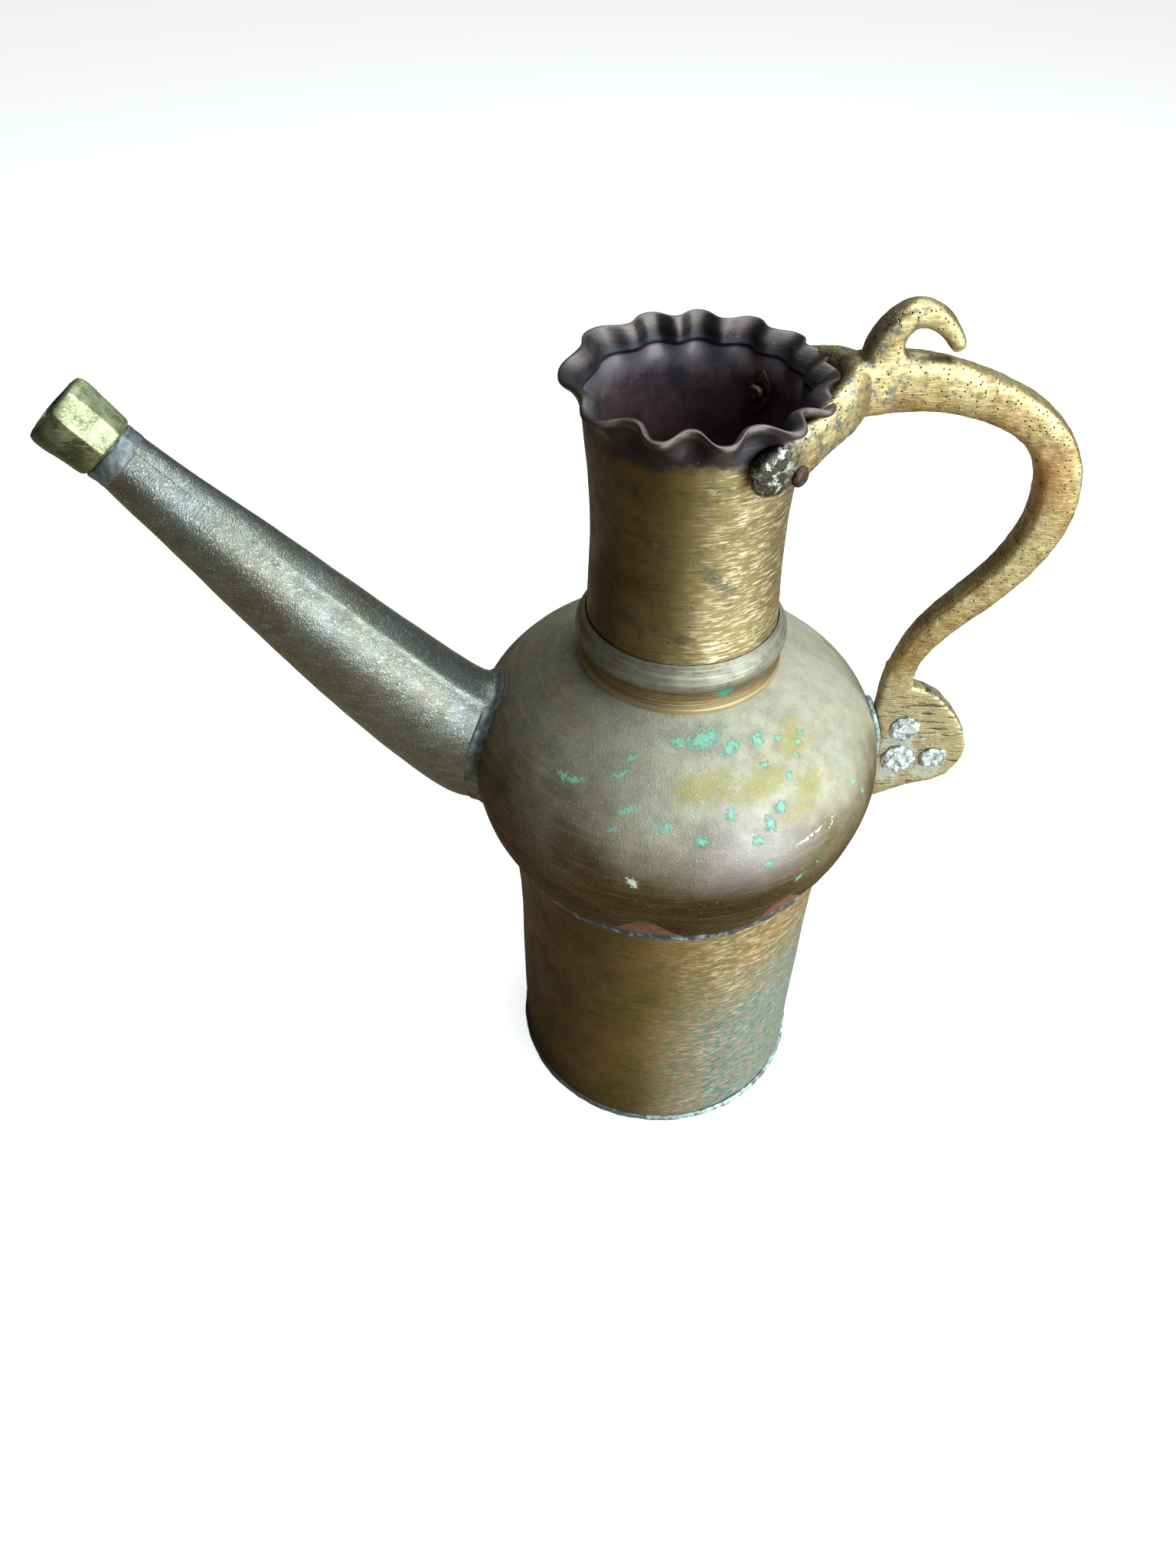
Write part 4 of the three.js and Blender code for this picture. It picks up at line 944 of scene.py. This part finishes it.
fleck = add(tree, "MapRange", {
    "Value": grit, "From Min": 0.62, "From Max": 0.7, "To Max": 0.7,
}).outputs[0]
base = add(tree, "Mix", {0: fleck, 6: base, 7: hex_colour("#b8b8a6")}, data_type="RGBA").outputs[2]
rough = add(tree, "MapRange", {
    "Value": mottle, "From Min": 0.3, "From Max": 0.7, "To Min": 0.3, "To Max": 0.43,
}).outputs[0]
relief = add(tree, "Math", {0: strokes, 1: 1.0, 2: grit}, operation="MULTIPLY_ADD").outputs[0]
dress(tree, shader, base, metallic=0.85, roughness=rough,
      relief=relief, strength=0.55, depth=0.3)
hand_over(spout, spout_look, "dark_copper", "spout")

# ---- Spout collar ------------------------------------------------------------------------------
# A narrow flange of grey solder round the spout's root, following the bulb.


def bulb_gap(place):
    """How far a point is outside the bulb's skin, measured level."""
    height = min(max(place.z, BULB_OUTLINE[0][1]), 206.0)
    return math.hypot(place.x, place.y) - surface_radius(BULB_OUTLINE, height)


def root_point(turn, outside):
    """The point of the cone's skin, at a turn, that is a given distance outside the bulb."""
    was = spout_point(SPOUT_STATIONS[0], turn)
    for station in SPOUT_STATIONS[1:]:
        now = spout_point(station, turn)
        if bulb_gap(now) < outside:
            share = (bulb_gap(was) - outside) / (bulb_gap(was) - bulb_gap(now))
            return was.lerp(now, share)
        was = now
    return was


# How far outside the bulb each ring of the flange is, and how proud of the cone
ROOT_RINGS = [(4.0, -0.4), (3.9, 0.35), (2.6, 0.5), (1.2, 0.8), (0.3, 1.7), (-0.5, 2.4)]
ROOT_MIDDLE = Vector((-72, 0, 165))


def root_ring(outside, proud):
    """A ring of the flange round the cone."""
    skins = [root_point(360.0 * side / SPOUT_SIDES, outside) for side in range(SPOUT_SIDES)]
    return [skin + (skin - ROOT_MIDDLE).normalized() * proud for skin in skins]


root_band = skinned("spout_root_solder", [root_ring(*ring) for ring in ROOT_RINGS])
finish_with(root_band, "SUBSURF", levels=2, render_levels=2)
beat(root_band, 0.7, 4, 8)
finish_with(root_band, "SOLIDIFY", thickness=0.5 * MM, offset=-1.0)
smooth_by_angle(root_band, 60)
# Dull dark grey, patchy.
band_look, tree, shader = new_material("grey_solder")
place = places_in_mm(tree)
crust = add(tree, "TexNoise", {
    "Vector": place, "Scale": 1 / 5, "Detail": 7.0, "Roughness": 0.7,
}).outputs["Fac"]
share = add(tree, "MapRange", {"Value": crust, "From Min": 0.4, "From Max": 0.66}).outputs[0]
base = add(tree, "Mix", {
    0: share, 6: hex_colour("#46443f"), 7: hex_colour("#78807f"),
}, data_type="RGBA").outputs[2]
dress(tree, shader, base, metallic=0.7, roughness=0.5,
      relief=crust, strength=0.4, depth=0.4)
hand_over(root_band, band_look, "solder", "spout_collar")

# ---- Spout tip ---------------------------------------------------------------------------------
# A short length of square brass bar, bored through, its corners filed off and its mouth rounded,
# soldered into the end of the cone. Greenish yellow, bright where the file last touched it.

TIP_JOINT = Vector((-168.8, 0, 278.5))
TIP_AXIS = Vector((-0.656, 0, 0.755))
TIP_UP = Vector((0.755, 0, 0.656))
TIP_SIDEWAYS = Vector((0, -1, 0))
# Distance from the joint, distance of the faces from the axis, and share of a face left flat
TIP_RINGS = [
    (-6.0, 7.0, 0.5), (-0.1, 7.0, 0.5), (0.0, 8.8, 0.46), (0.7, 9.5, 0.44), (1.6, 9.8, 0.44),
    (8.0, 10.3, 0.44), (14.0, 10.7, 0.44), (15.8, 10.5, 0.45), (17.2, 9.7, 0.47), (17.7, 8.4, 0.5),
    (17.4, 7.4, 0.55), (16.2, 6.4, 0.5), (6.0, 5.4, 0.42), (-6.0, 5.2, 0.42),
]


def eight_corners(flat):
    """Corners of a square of half-width 1 with a share of each side left flat and its corners cut off."""
    return [
        (1, flat), (flat, 1), (-flat, 1), (-1, flat), (-1, -flat), (-flat, -1), (flat, -1), (1, -flat),
    ]


def bar_ring(along, reach, flat):
    """Eight corners of the bar's section: four faces at a distance from the axis, corners cut off."""
    middle = TIP_JOINT + TIP_AXIS * along
    return [middle + TIP_SIDEWAYS * reach * a + TIP_UP * reach * b for a, b in eight_corners(flat)]


tip = skinned("spout_tip_bar", [bar_ring(*ring) for ring in TIP_RINGS], "joined")
finish_with(tip, "BEVEL", width=0.7 * MM, segments=2, limit_method="ANGLE", angle_limit=math.radians(25))
finish_with(tip, "SUBSURF", levels=2, render_levels=2)
push(tip, TIP_JOINT + TIP_AXIS * 17 + TIP_SIDEWAYS * 10, (0.5, 0.6, 0), 8)
beat(tip, 0.5, 7, 9)
smooth_by_angle(tip, 60)


def copy_of(node, name):
    """A merged copy of a CAD node's mesh, as the start of a finished piece."""
    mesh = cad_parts[node].data.copy()
    piece = bpy.data.objects.new(name, mesh)
    piece.data.materials.clear()
    bpy.context.scene.collection.objects.link(piece)
    bpy.ops.object.select_all(action="DESELECT")
    bpy.context.view_layer.objects.active = piece
    piece.select_set(True)
    bpy.ops.object.mode_set(mode="EDIT")
    bpy.ops.mesh.select_all(action="SELECT")
    bpy.ops.mesh.remove_doubles(threshold=0.005 * MM)
    bpy.ops.object.mode_set(mode="OBJECT")
    return piece


# Greenish yellow with bright file strokes, and painted shade darkening it underneath.
tip_look, tree, shader = new_material("filed_green_brass")
place = places_in_mm(tree)
laid = add(tree, "Mapping", {
    "Vector": place, "Rotation": (0.4, math.radians(49), 0.2), "Scale": (0.25, 2.6, 2.6),
}).outputs[0]
scratches = add(tree, "TexNoise", {
    "Vector": laid, "Scale": 1.0, "Detail": 4.0, "Roughness": 0.7,
}).outputs["Fac"]
mottle = add(tree, "TexNoise", {
    "Vector": place, "Scale": 1 / 6, "Detail": 6.0, "Roughness": 0.65,
}).outputs["Fac"]
share = add(tree, "MapRange", {"Value": mottle, "From Min": 0.42, "From Max": 0.62}).outputs[0]
base = add(tree, "Mix", {
    0: share, 6: hex_colour("#9b9b74"), 7: hex_colour("#54573c"),
}, data_type="RGBA").outputs[2]
share = add(tree, "MapRange", {
    "Value": scratches, "From Min": 0.5, "From Max": 0.68, "To Max": 0.7,
}).outputs[0]
base = add(tree, "Mix", {0: share, 6: base, 7: hex_colour("#c9caa2")}, data_type="RGBA").outputs[2]
# Painted shade: the bar grows darker towards its underside.
from_joint = add(tree, "VectorMath", {0: place, 1: TIP_JOINT}, operation="SUBTRACT").outputs[0]
above = add(tree, "VectorMath", {0: from_joint, 1: TIP_UP}, operation="DOT_PRODUCT").outputs["Value"]
painted_under_shade = add(tree, "MapRange", {
    "Value": above, "From Min": 2.0, "From Max": -3.0, "To Max": 0.8,
}).outputs[0]
base = add(tree, "Mix", {0: painted_under_shade, 6: base, 7: hex_colour("#34361f")}, data_type="RGBA").outputs[2]
dress(tree, shader, base, metallic=0.9, roughness=0.46,
      relief=scratches, strength=0.4, depth=0.2)
hand_over(tip, tip_look, "tip_brass", "spout_tip")

# Solder smeared over the joint, from the bar back onto the cone.
# How far back from the joint each ring is, and how proud of the cone
SMEAR_RINGS = [(-0.2, -0.8), (0.0, 0.35), (0.9, 0.5), (2.2, 0.35), (4.0, 0.2), (5.6, 0.05), (5.8, -0.4)]
CONE_END_RADIUS = 8.8
CONE_GROWTH = 0.105


def smear_ring(back, proud):
    """A ring of solder round the end of the cone."""
    radius = CONE_END_RADIUS + CONE_GROWTH * back + proud
    middle = TIP_JOINT - TIP_AXIS * back
    turns = [math.radians(360.0 * side / SPOUT_SIDES) for side in range(SPOUT_SIDES)]
    return [
        middle + TIP_UP * radius * math.cos(turn) + TIP_SIDEWAYS * radius * math.sin(turn) for turn in turns
    ]


smear = skinned("tip_solder_smear", [smear_ring(*ring) for ring in SMEAR_RINGS])
finish_with(smear, "SUBSURF", levels=2, render_levels=2)
beat(smear, 0.8, 4, 10)
finish_with(smear, "SOLIDIFY", thickness=0.3 * MM, offset=-1.0)
smooth_by_angle(smear, 60)
hand_over(smear, band_look, "solder", "tip_solder")

# ---- Handle ------------------------------------------------------------------------------------
# One brass casting: two arms that hug the neck under the rim, a thumb scroll, the bent grip, and a
# thin stem that widens to a round lug on the belly. Cast skin with pinholes, filed at the lug.

# Each station: x, z, width in the handle's plane, thickness across it
GRIP_STATIONS = [
    (39.5, 297.4, 14, 22), (44, 298.2, 16, 16), (50, 298.8, 17.6, 11.6), (62, 299.5, 16, 10.8),
    (75, 297, 13.6, 10.8), (88.7, 292.1, 12.2, 10.8), (98.5, 285.8, 12.4, 11), (105.0, 277.8, 13.2, 11),
    (109.0, 266.5, 13.8, 11), (108.3, 254, 13.6, 10.8), (104.6, 243.4, 12.8, 10.4),
    (98.3, 233.6, 11.8, 10), (89.4, 223.6, 11.4, 9.4), (80.8, 213.4, 10.6, 8.6),
    (76.2, 203.2, 9.2, 7.8), (75.0, 194, 9.6, 7.2), (75.6, 184, 12, 6.6),
]
SCROLL_STATIONS = [
    (51.6, 300, 18, 9.2), (49.6, 306.6, 12.4, 9.4), (50.2, 312.6, 9.2, 9.2), (54.2, 317.4, 8.0, 8.8),
    (59.4, 318.6, 7.4, 8.4), (64.3, 316.2, 6.4, 8.0), (68.0, 312.2, 5.2, 7.6), (70.4, 308.0, 4.0, 7.0),
]


def section(centre, along, across, width, thickness, flat):
    """Eight points round a bar: its thickness lies along across, its width square to that and to along."""
    side = along.cross(across).normalized()
    return [
        centre + side * (width / 2 * a) + across * (thickness / 2 * b) for a, b in eight_corners(flat)
    ]


def planar_limb(name, stations, flat):
    """A limb in the handle's plane, through stations of (x, z, width, thickness)."""
    centres = [Vector((x, 0, z)) for x, z, _, _ in stations]
    rings = []
    for i, (_, _, width, thickness) in enumerate(stations):
        ahead = centres[min(i + 1, len(centres) - 1)] - centres[max(i - 1, 0)]
        rings.append(section(centres[i], ahead.normalized(), Vector((0, 1, 0)), width, thickness, flat))
    return skinned(name, rings, "capped")


grip = planar_limb("handle_casting", GRIP_STATIONS, 0.7)
scroll = planar_limb("scroll", SCROLL_STATIONS, 0.66)

# Arms: bearing, radius of the middle of the arm, height, height of the section, thickness
ARM_STATIONS = [
    (0, 45, 298, 16, 9), (12, 42.5, 297, 16, 8.6), (24, 38.6, 294.6, 15.5, 6.6),
    (36, 36.4, 291.4, 15.6, 5.4), (48, 35.6, 289.2, 16, 5.2), (58, 35.4, 288.3, 15.6, 5.2),
    (64.5, 35.2, 288.0, 12.6, 5.0), (69, 34.9, 288.0, 7, 4.2),
]
arm_rings = []
arm_centres = [round_place(b, r, z) for b, r, z, _, _ in ARM_STATIONS]
for i, (bearing, _, _, tall, thick) in enumerate(ARM_STATIONS):
    ahead = arm_centres[min(i + 1, len(arm_centres) - 1)] - arm_centres[max(i - 1, 0)]
    level = Vector((ahead.x, ahead.y, 0)).normalized()
    out = level.cross(Vector((0, 0, 1)))
    arm_rings.append(section(arm_centres[i], level, out, tall, thick, 0.6))
arm = skinned("arm", arm_rings, "capped")

LUG_OUTLINE = [
    (70.6, 199), (79.6, 196), (80.2, 191.0), (84.7, 189.8), (90.1, 186.4), (96.6, 179.4),
    (101.1, 172.3), (103.9, 165), (104.1, 159.3), (102.4, 154.4), (99.8, 150.1), (94.8, 147),
    (88.2, 145.4), (80.4, 141.8), (75.6, 139.2), (69.0, 142.0), (72.0, 152), (72.8, 163), (72.2, 172),
    (69.6, 180), (69.8, 190),
]
bpy.ops.object.select_all(action="DESELECT")
bpy.ops.mesh.primitive_circle_add(vertices=len(LUG_OUTLINE), radius=1 * MM, fill_type="NGON")
lug = bpy.context.object
lug.name = "lug"
for point, (x, z) in zip(lug.data.vertices, LUG_OUTLINE):
    point.co = Vector((x, -3.3, z)) * MM
bpy.ops.object.mode_set(mode="EDIT")
bpy.ops.mesh.select_all(action="SELECT")
bpy.ops.mesh.extrude_region_move(TRANSFORM_OT_translate={"value": (0, 6.6 * MM, 0)})
bpy.ops.object.mode_set(mode="OBJECT")
outwards(lug)
finish_with(lug, "BEVEL", width=0.8 * MM, segments=2, limit_method="ANGLE", angle_limit=math.radians(50))
for limb in (grip, scroll, arm):
    finish_with(limb, "SUBSURF", levels=3, render_levels=3)
finish_with(arm, "MIRROR", use_axis=(False, True, False), use_mirror_merge=False)
bpy.ops.object.select_all(action="DESELECT")
for limb in (scroll, arm, lug, grip):
    limb.select_set(True)
bpy.context.view_layer.objects.active = grip
bpy.ops.object.join()
finish_with(grip, "REMESH", mode="VOXEL", voxel_size=0.6 * MM)
finish_with(grip, "SMOOTH", factor=0.5, iterations=5)
beat(grip, 0.45, 6, 11)
beat(grip, 0.22, 1.6, 12)
smooth_by_angle(grip, 60)
# Worn straw yellow with brown stains and black pinholes, pale and striped by the file at the lug.
casting_look, tree, shader = new_material("worn_cast_brass")
place = places_in_mm(tree)
split = add(tree, "SeparateXYZ", {0: place})
broad = add(tree, "TexNoise", {
    "Vector": place, "Scale": 1 / 14, "Detail": 4.0, "Roughness": 0.6,
}).outputs["Fac"]
mottle = add(tree, "TexNoise", {
    "Vector": place, "Scale": 1 / 3, "Detail": 8.0, "Roughness": 0.75,
}).outputs["Fac"]
pinholes = add(tree, "TexVoronoi", {"Vector": place, "Scale": 1 / 1.4}).outputs["Distance"]
filed = add(tree, "Mapping", {
    "Vector": place, "Scale": (0.12, 0.12, 1.0), "Rotation": (0, 0.15, 0),
}).outputs[0]
files = add(tree, "TexNoise", {
    "Vector": filed, "Scale": 1.0, "Detail": 4.0, "Roughness": 0.7,
}).outputs["Fac"]
share = add(tree, "MapRange", {"Value": broad, "From Min": 0.4, "From Max": 0.62}).outputs[0]
base = add(tree, "Mix", {
    0: share, 6: hex_colour("#a89a6e"), 7: hex_colour("#967c50"),
}, data_type="RGBA").outputs[2]
share = add(tree, "MapRange", {
    "Value": mottle, "From Min": 0.48, "From Max": 0.66, "To Max": 0.75,
}).outputs[0]
base = add(tree, "Mix", {0: share, 6: base, 7: hex_colour("#544324")}, data_type="RGBA").outputs[2]
slant = add(tree, "Mapping", {
    "Vector": place, "Scale": (0.35, 0.35, 1.9), "Rotation": (0, 0.6, 0),
}).outputs[0]
rasped = add(tree, "TexNoise", {
    "Vector": slant, "Scale": 1.0, "Detail": 4.0, "Roughness": 0.7,
}).outputs["Fac"]
scratched = add(tree, "MapRange", {
    "Value": rasped, "From Min": 0.5, "From Max": 0.66, "To Max": 0.6,
}).outputs[0]
base = add(tree, "Mix", {0: scratched, 6: base, 7: hex_colour("#cdbb8c")}, data_type="RGBA").outputs[2]
# Painted shade: the inner faces of the grip's bend are darkened to orange-brown.
inner = add(tree, "VectorMath", {0: place, 1: (96, 0, 270)}, operation="DISTANCE").outputs["Value"]
painted_bend_shade = add(tree, "MapRange", {
    "Value": inner, "From Min": 17.0, "From Max": 8.0, "To Max": 0.55,
}).outputs[0]
base = add(tree, "Mix", {0: painted_bend_shade, 6: base, 7: hex_colour("#8a4f22")}, data_type="RGBA").outputs[2]
wander = add(tree, "Math", {0: mottle, 1: 16.0, 2: split.outputs[0]}, operation="MULTIPLY_ADD").outputs[0]
tarnish = add(tree, "MapRange", {"Value": mottle, "From Min": 0.5, "From Max": 0.58}).outputs[0]
near_neck = add(tree, "MapRange", {
    "Value": wander, "From Min": 74.0, "From Max": 58.0, "To Max": 0.95,
}).outputs[0]
tarnish = add(tree, "Math", {0: near_neck, 1: tarnish}, operation="MULTIPLY").outputs[0]
base = add(tree, "Mix", {0: tarnish, 6: base, 7: hex_colour("#5d615c")}, data_type="RGBA").outputs[2]
pads = add(tree, "MapRange", {"Value": wander, "From Min": 37.0, "From Max": 30.0}).outputs[0]
glint = add(tree, "MapRange", {"Value": mottle, "From Min": 0.52, "From Max": 0.6}).outputs[0]
blackened = add(tree, "Mix", {
    0: glint, 6: hex_colour("#38342a"), 7: hex_colour("#b9b9ad"),
}, data_type="RGBA").outputs[2]
base = add(tree, "Mix", {0: pads, 6: base, 7: blackened}, data_type="RGBA").outputs[2]
hole = add(tree, "MapRange", {"Value": pinholes, "From Min": 0.24, "From Max": 0.14}).outputs[0]
base = add(tree, "Mix", {0: hole, 6: base, 7: hex_colour("#2a2012")}, data_type="RGBA").outputs[2]
lug_share = add(tree, "MapRange", {
    "Value": split.outputs[2], "From Min": 200.0, "From Max": 190.0,
}).outputs[0]
stripes = add(tree, "MapRange", {"Value": files, "From Min": 0.5, "From Max": 0.38}).outputs[0]
stripes = add(tree, "Math", {0: stripes, 1: lug_share}, operation="MULTIPLY").outputs[0]
pale = add(tree, "Math", {0: lug_share, 1: 0.6}, operation="MULTIPLY").outputs[0]
base = add(tree, "Mix", {0: pale, 6: base, 7: hex_colour("#b8ac86")}, data_type="RGBA").outputs[2]
base = add(tree, "Mix", {0: stripes, 6: base, 7: hex_colour("#544c38")}, data_type="RGBA").outputs[2]
RIVET_BLOOMS = [(80.4, 0, 167.2), (78.6, 0, 153.4), (91.4, 0, 155.2)]
nearest = 99.0
for rivet in RIVET_BLOOMS:
    reach = add(tree, "VectorMath", {0: place, 1: rivet}, operation="DISTANCE").outputs["Value"]
    nearest = add(tree, "Math", {0: reach, 1: nearest}, operation="MINIMUM").outputs[0]
frayed = add(tree, "Math", {0: mottle, 1: 26.0, 2: nearest}, operation="MULTIPLY_ADD").outputs[0]
bloomed = add(tree, "MapRange", {
    "Value": frayed, "From Min": 20.8, "From Max": 18.6, "To Max": 0.8,
}).outputs[0]
base = add(tree, "Mix", {0: bloomed, 6: base, 7: hex_colour("#9d9f93")}, data_type="RGBA").outputs[2]
metal = add(tree, "MapRange", {"Value": bloomed, "To Min": 0.92, "To Max": 0.1}).outputs[0]
rough = add(tree, "MapRange", {
    "Value": mottle, "From Min": 0.3, "From Max": 0.7, "To Min": 0.34, "To Max": 0.55,
}).outputs[0]
relief = add(tree, "Math", {0: hole, 1: -0.9, 2: rasped}, operation="MULTIPLY_ADD").outputs[0]
relief = add(tree, "Math", {0: stripes, 1: -0.9, 2: relief}, operation="MULTIPLY_ADD").outputs[0]
dress(tree, shader, base, metallic=metal, roughness=rough,
      relief=relief, strength=0.5, depth=0.3)
hand_over(grip, casting_look, "cast_brass", "handle")

# ---- Rivets ------------------------------------------------------------------------------------
# Copper rivets through the arms and the neck, clenched over leaf-shaped roves inside.

# Dark brown, slightly shiny.
rivet_look, tree, shader = new_material("brown_copper")
place = places_in_mm(tree)
stain = add(tree, "TexNoise", {
    "Vector": place, "Scale": 1 / 2, "Detail": 6.0, "Roughness": 0.7,
}).outputs["Fac"]
share = add(tree, "MapRange", {"Value": stain, "From Min": 0.4, "From Max": 0.65}).outputs[0]
base = add(tree, "Mix", {
    0: share, 6: hex_colour("#4d3528"), 7: hex_colour("#2a211a"),
}, data_type="RGBA").outputs[2]
dress(tree, shader, base, metallic=0.7, roughness=0.5,
      relief=stain, strength=0.6, depth=0.3)
for word in ("front", "back"):
    for part in ("yoke_rivet", "rivet_washer"):
        piece = copy_of(f"{part}_{word}", f"{part}_{word}_hammered")
        finish_with(
            piece, "BEVEL", width=0.35 * MM, segments=2, limit_method="ANGLE", angle_limit=math.radians(25),
        )
        finish_with(piece, "REMESH", mode="VOXEL", voxel_size=0.25 * MM)
        finish_with(piece, "SMOOTH", factor=0.5, iterations=4)
        beat(piece, 0.5, 2.2, 13)
        smooth_by_angle(piece, 60)
        hand_over(piece, rivet_look, "red_copper", f"{part}_{word}")

# ---- Lug rivets and solder ---------------------------------------------------------------------
# Three rivets through the lug, their heads hidden under white corrosion crust.

# Chalky white with grey hollows, and no shine.
crust_look, tree, shader = new_material("white_corrosion_crust")
place = places_in_mm(tree)
crumbs = add(tree, "TexNoise", {
    "Vector": place, "Scale": 1 / 1.8, "Detail": 7.0, "Roughness": 0.75,
}).outputs["Fac"]
share = add(tree, "MapRange", {"Value": crumbs, "From Min": 0.42, "From Max": 0.56}).outputs[0]
base = add(tree, "Mix", {
    0: share, 6: hex_colour("#605d50"), 7: hex_colour("#c6cac4"),
}, data_type="RGBA").outputs[2]
dress(tree, shader, base, metallic=0.0, roughness=0.85,
      relief=crumbs, strength=0.8, depth=0.5)
CRUST_SPREAD = 1.3
for number in (1, 2, 3):
    piece = copy_of(f"lug_rivet_{number}", f"crusted_rivet_{number}")
    finish_with(piece, "REMESH", mode="VOXEL", voxel_size=0.25 * MM)
    finish_with(piece, "SMOOTH", factor=0.5, iterations=8)
    corners = [point.co for point in piece.data.vertices]
    middle = sum(corners, Vector()) / len(corners)
    for point in piece.data.vertices:
        away = point.co - middle
        point.co = middle + Vector((away.x * CRUST_SPREAD, away.y, away.z * CRUST_SPREAD))
    beat(piece, 2.2, 3.0, 14 + number)
    smooth_by_angle(piece, 80)
    hand_over(piece, crust_look, "lug_crust", f"lug_rivet_{number}")

lug_fillet = copy_of("lug_solder", "lug_solder_fillet")
finish_with(lug_fillet, "REMESH", mode="VOXEL", voxel_size=0.3 * MM)
finish_with(lug_fillet, "SMOOTH", factor=0.5, iterations=6)
beat(lug_fillet, 0.8, 3, 18)
smooth_by_angle(lug_fillet, 60)
hand_over(lug_fillet, solder_look, "solder", "lug_solder")
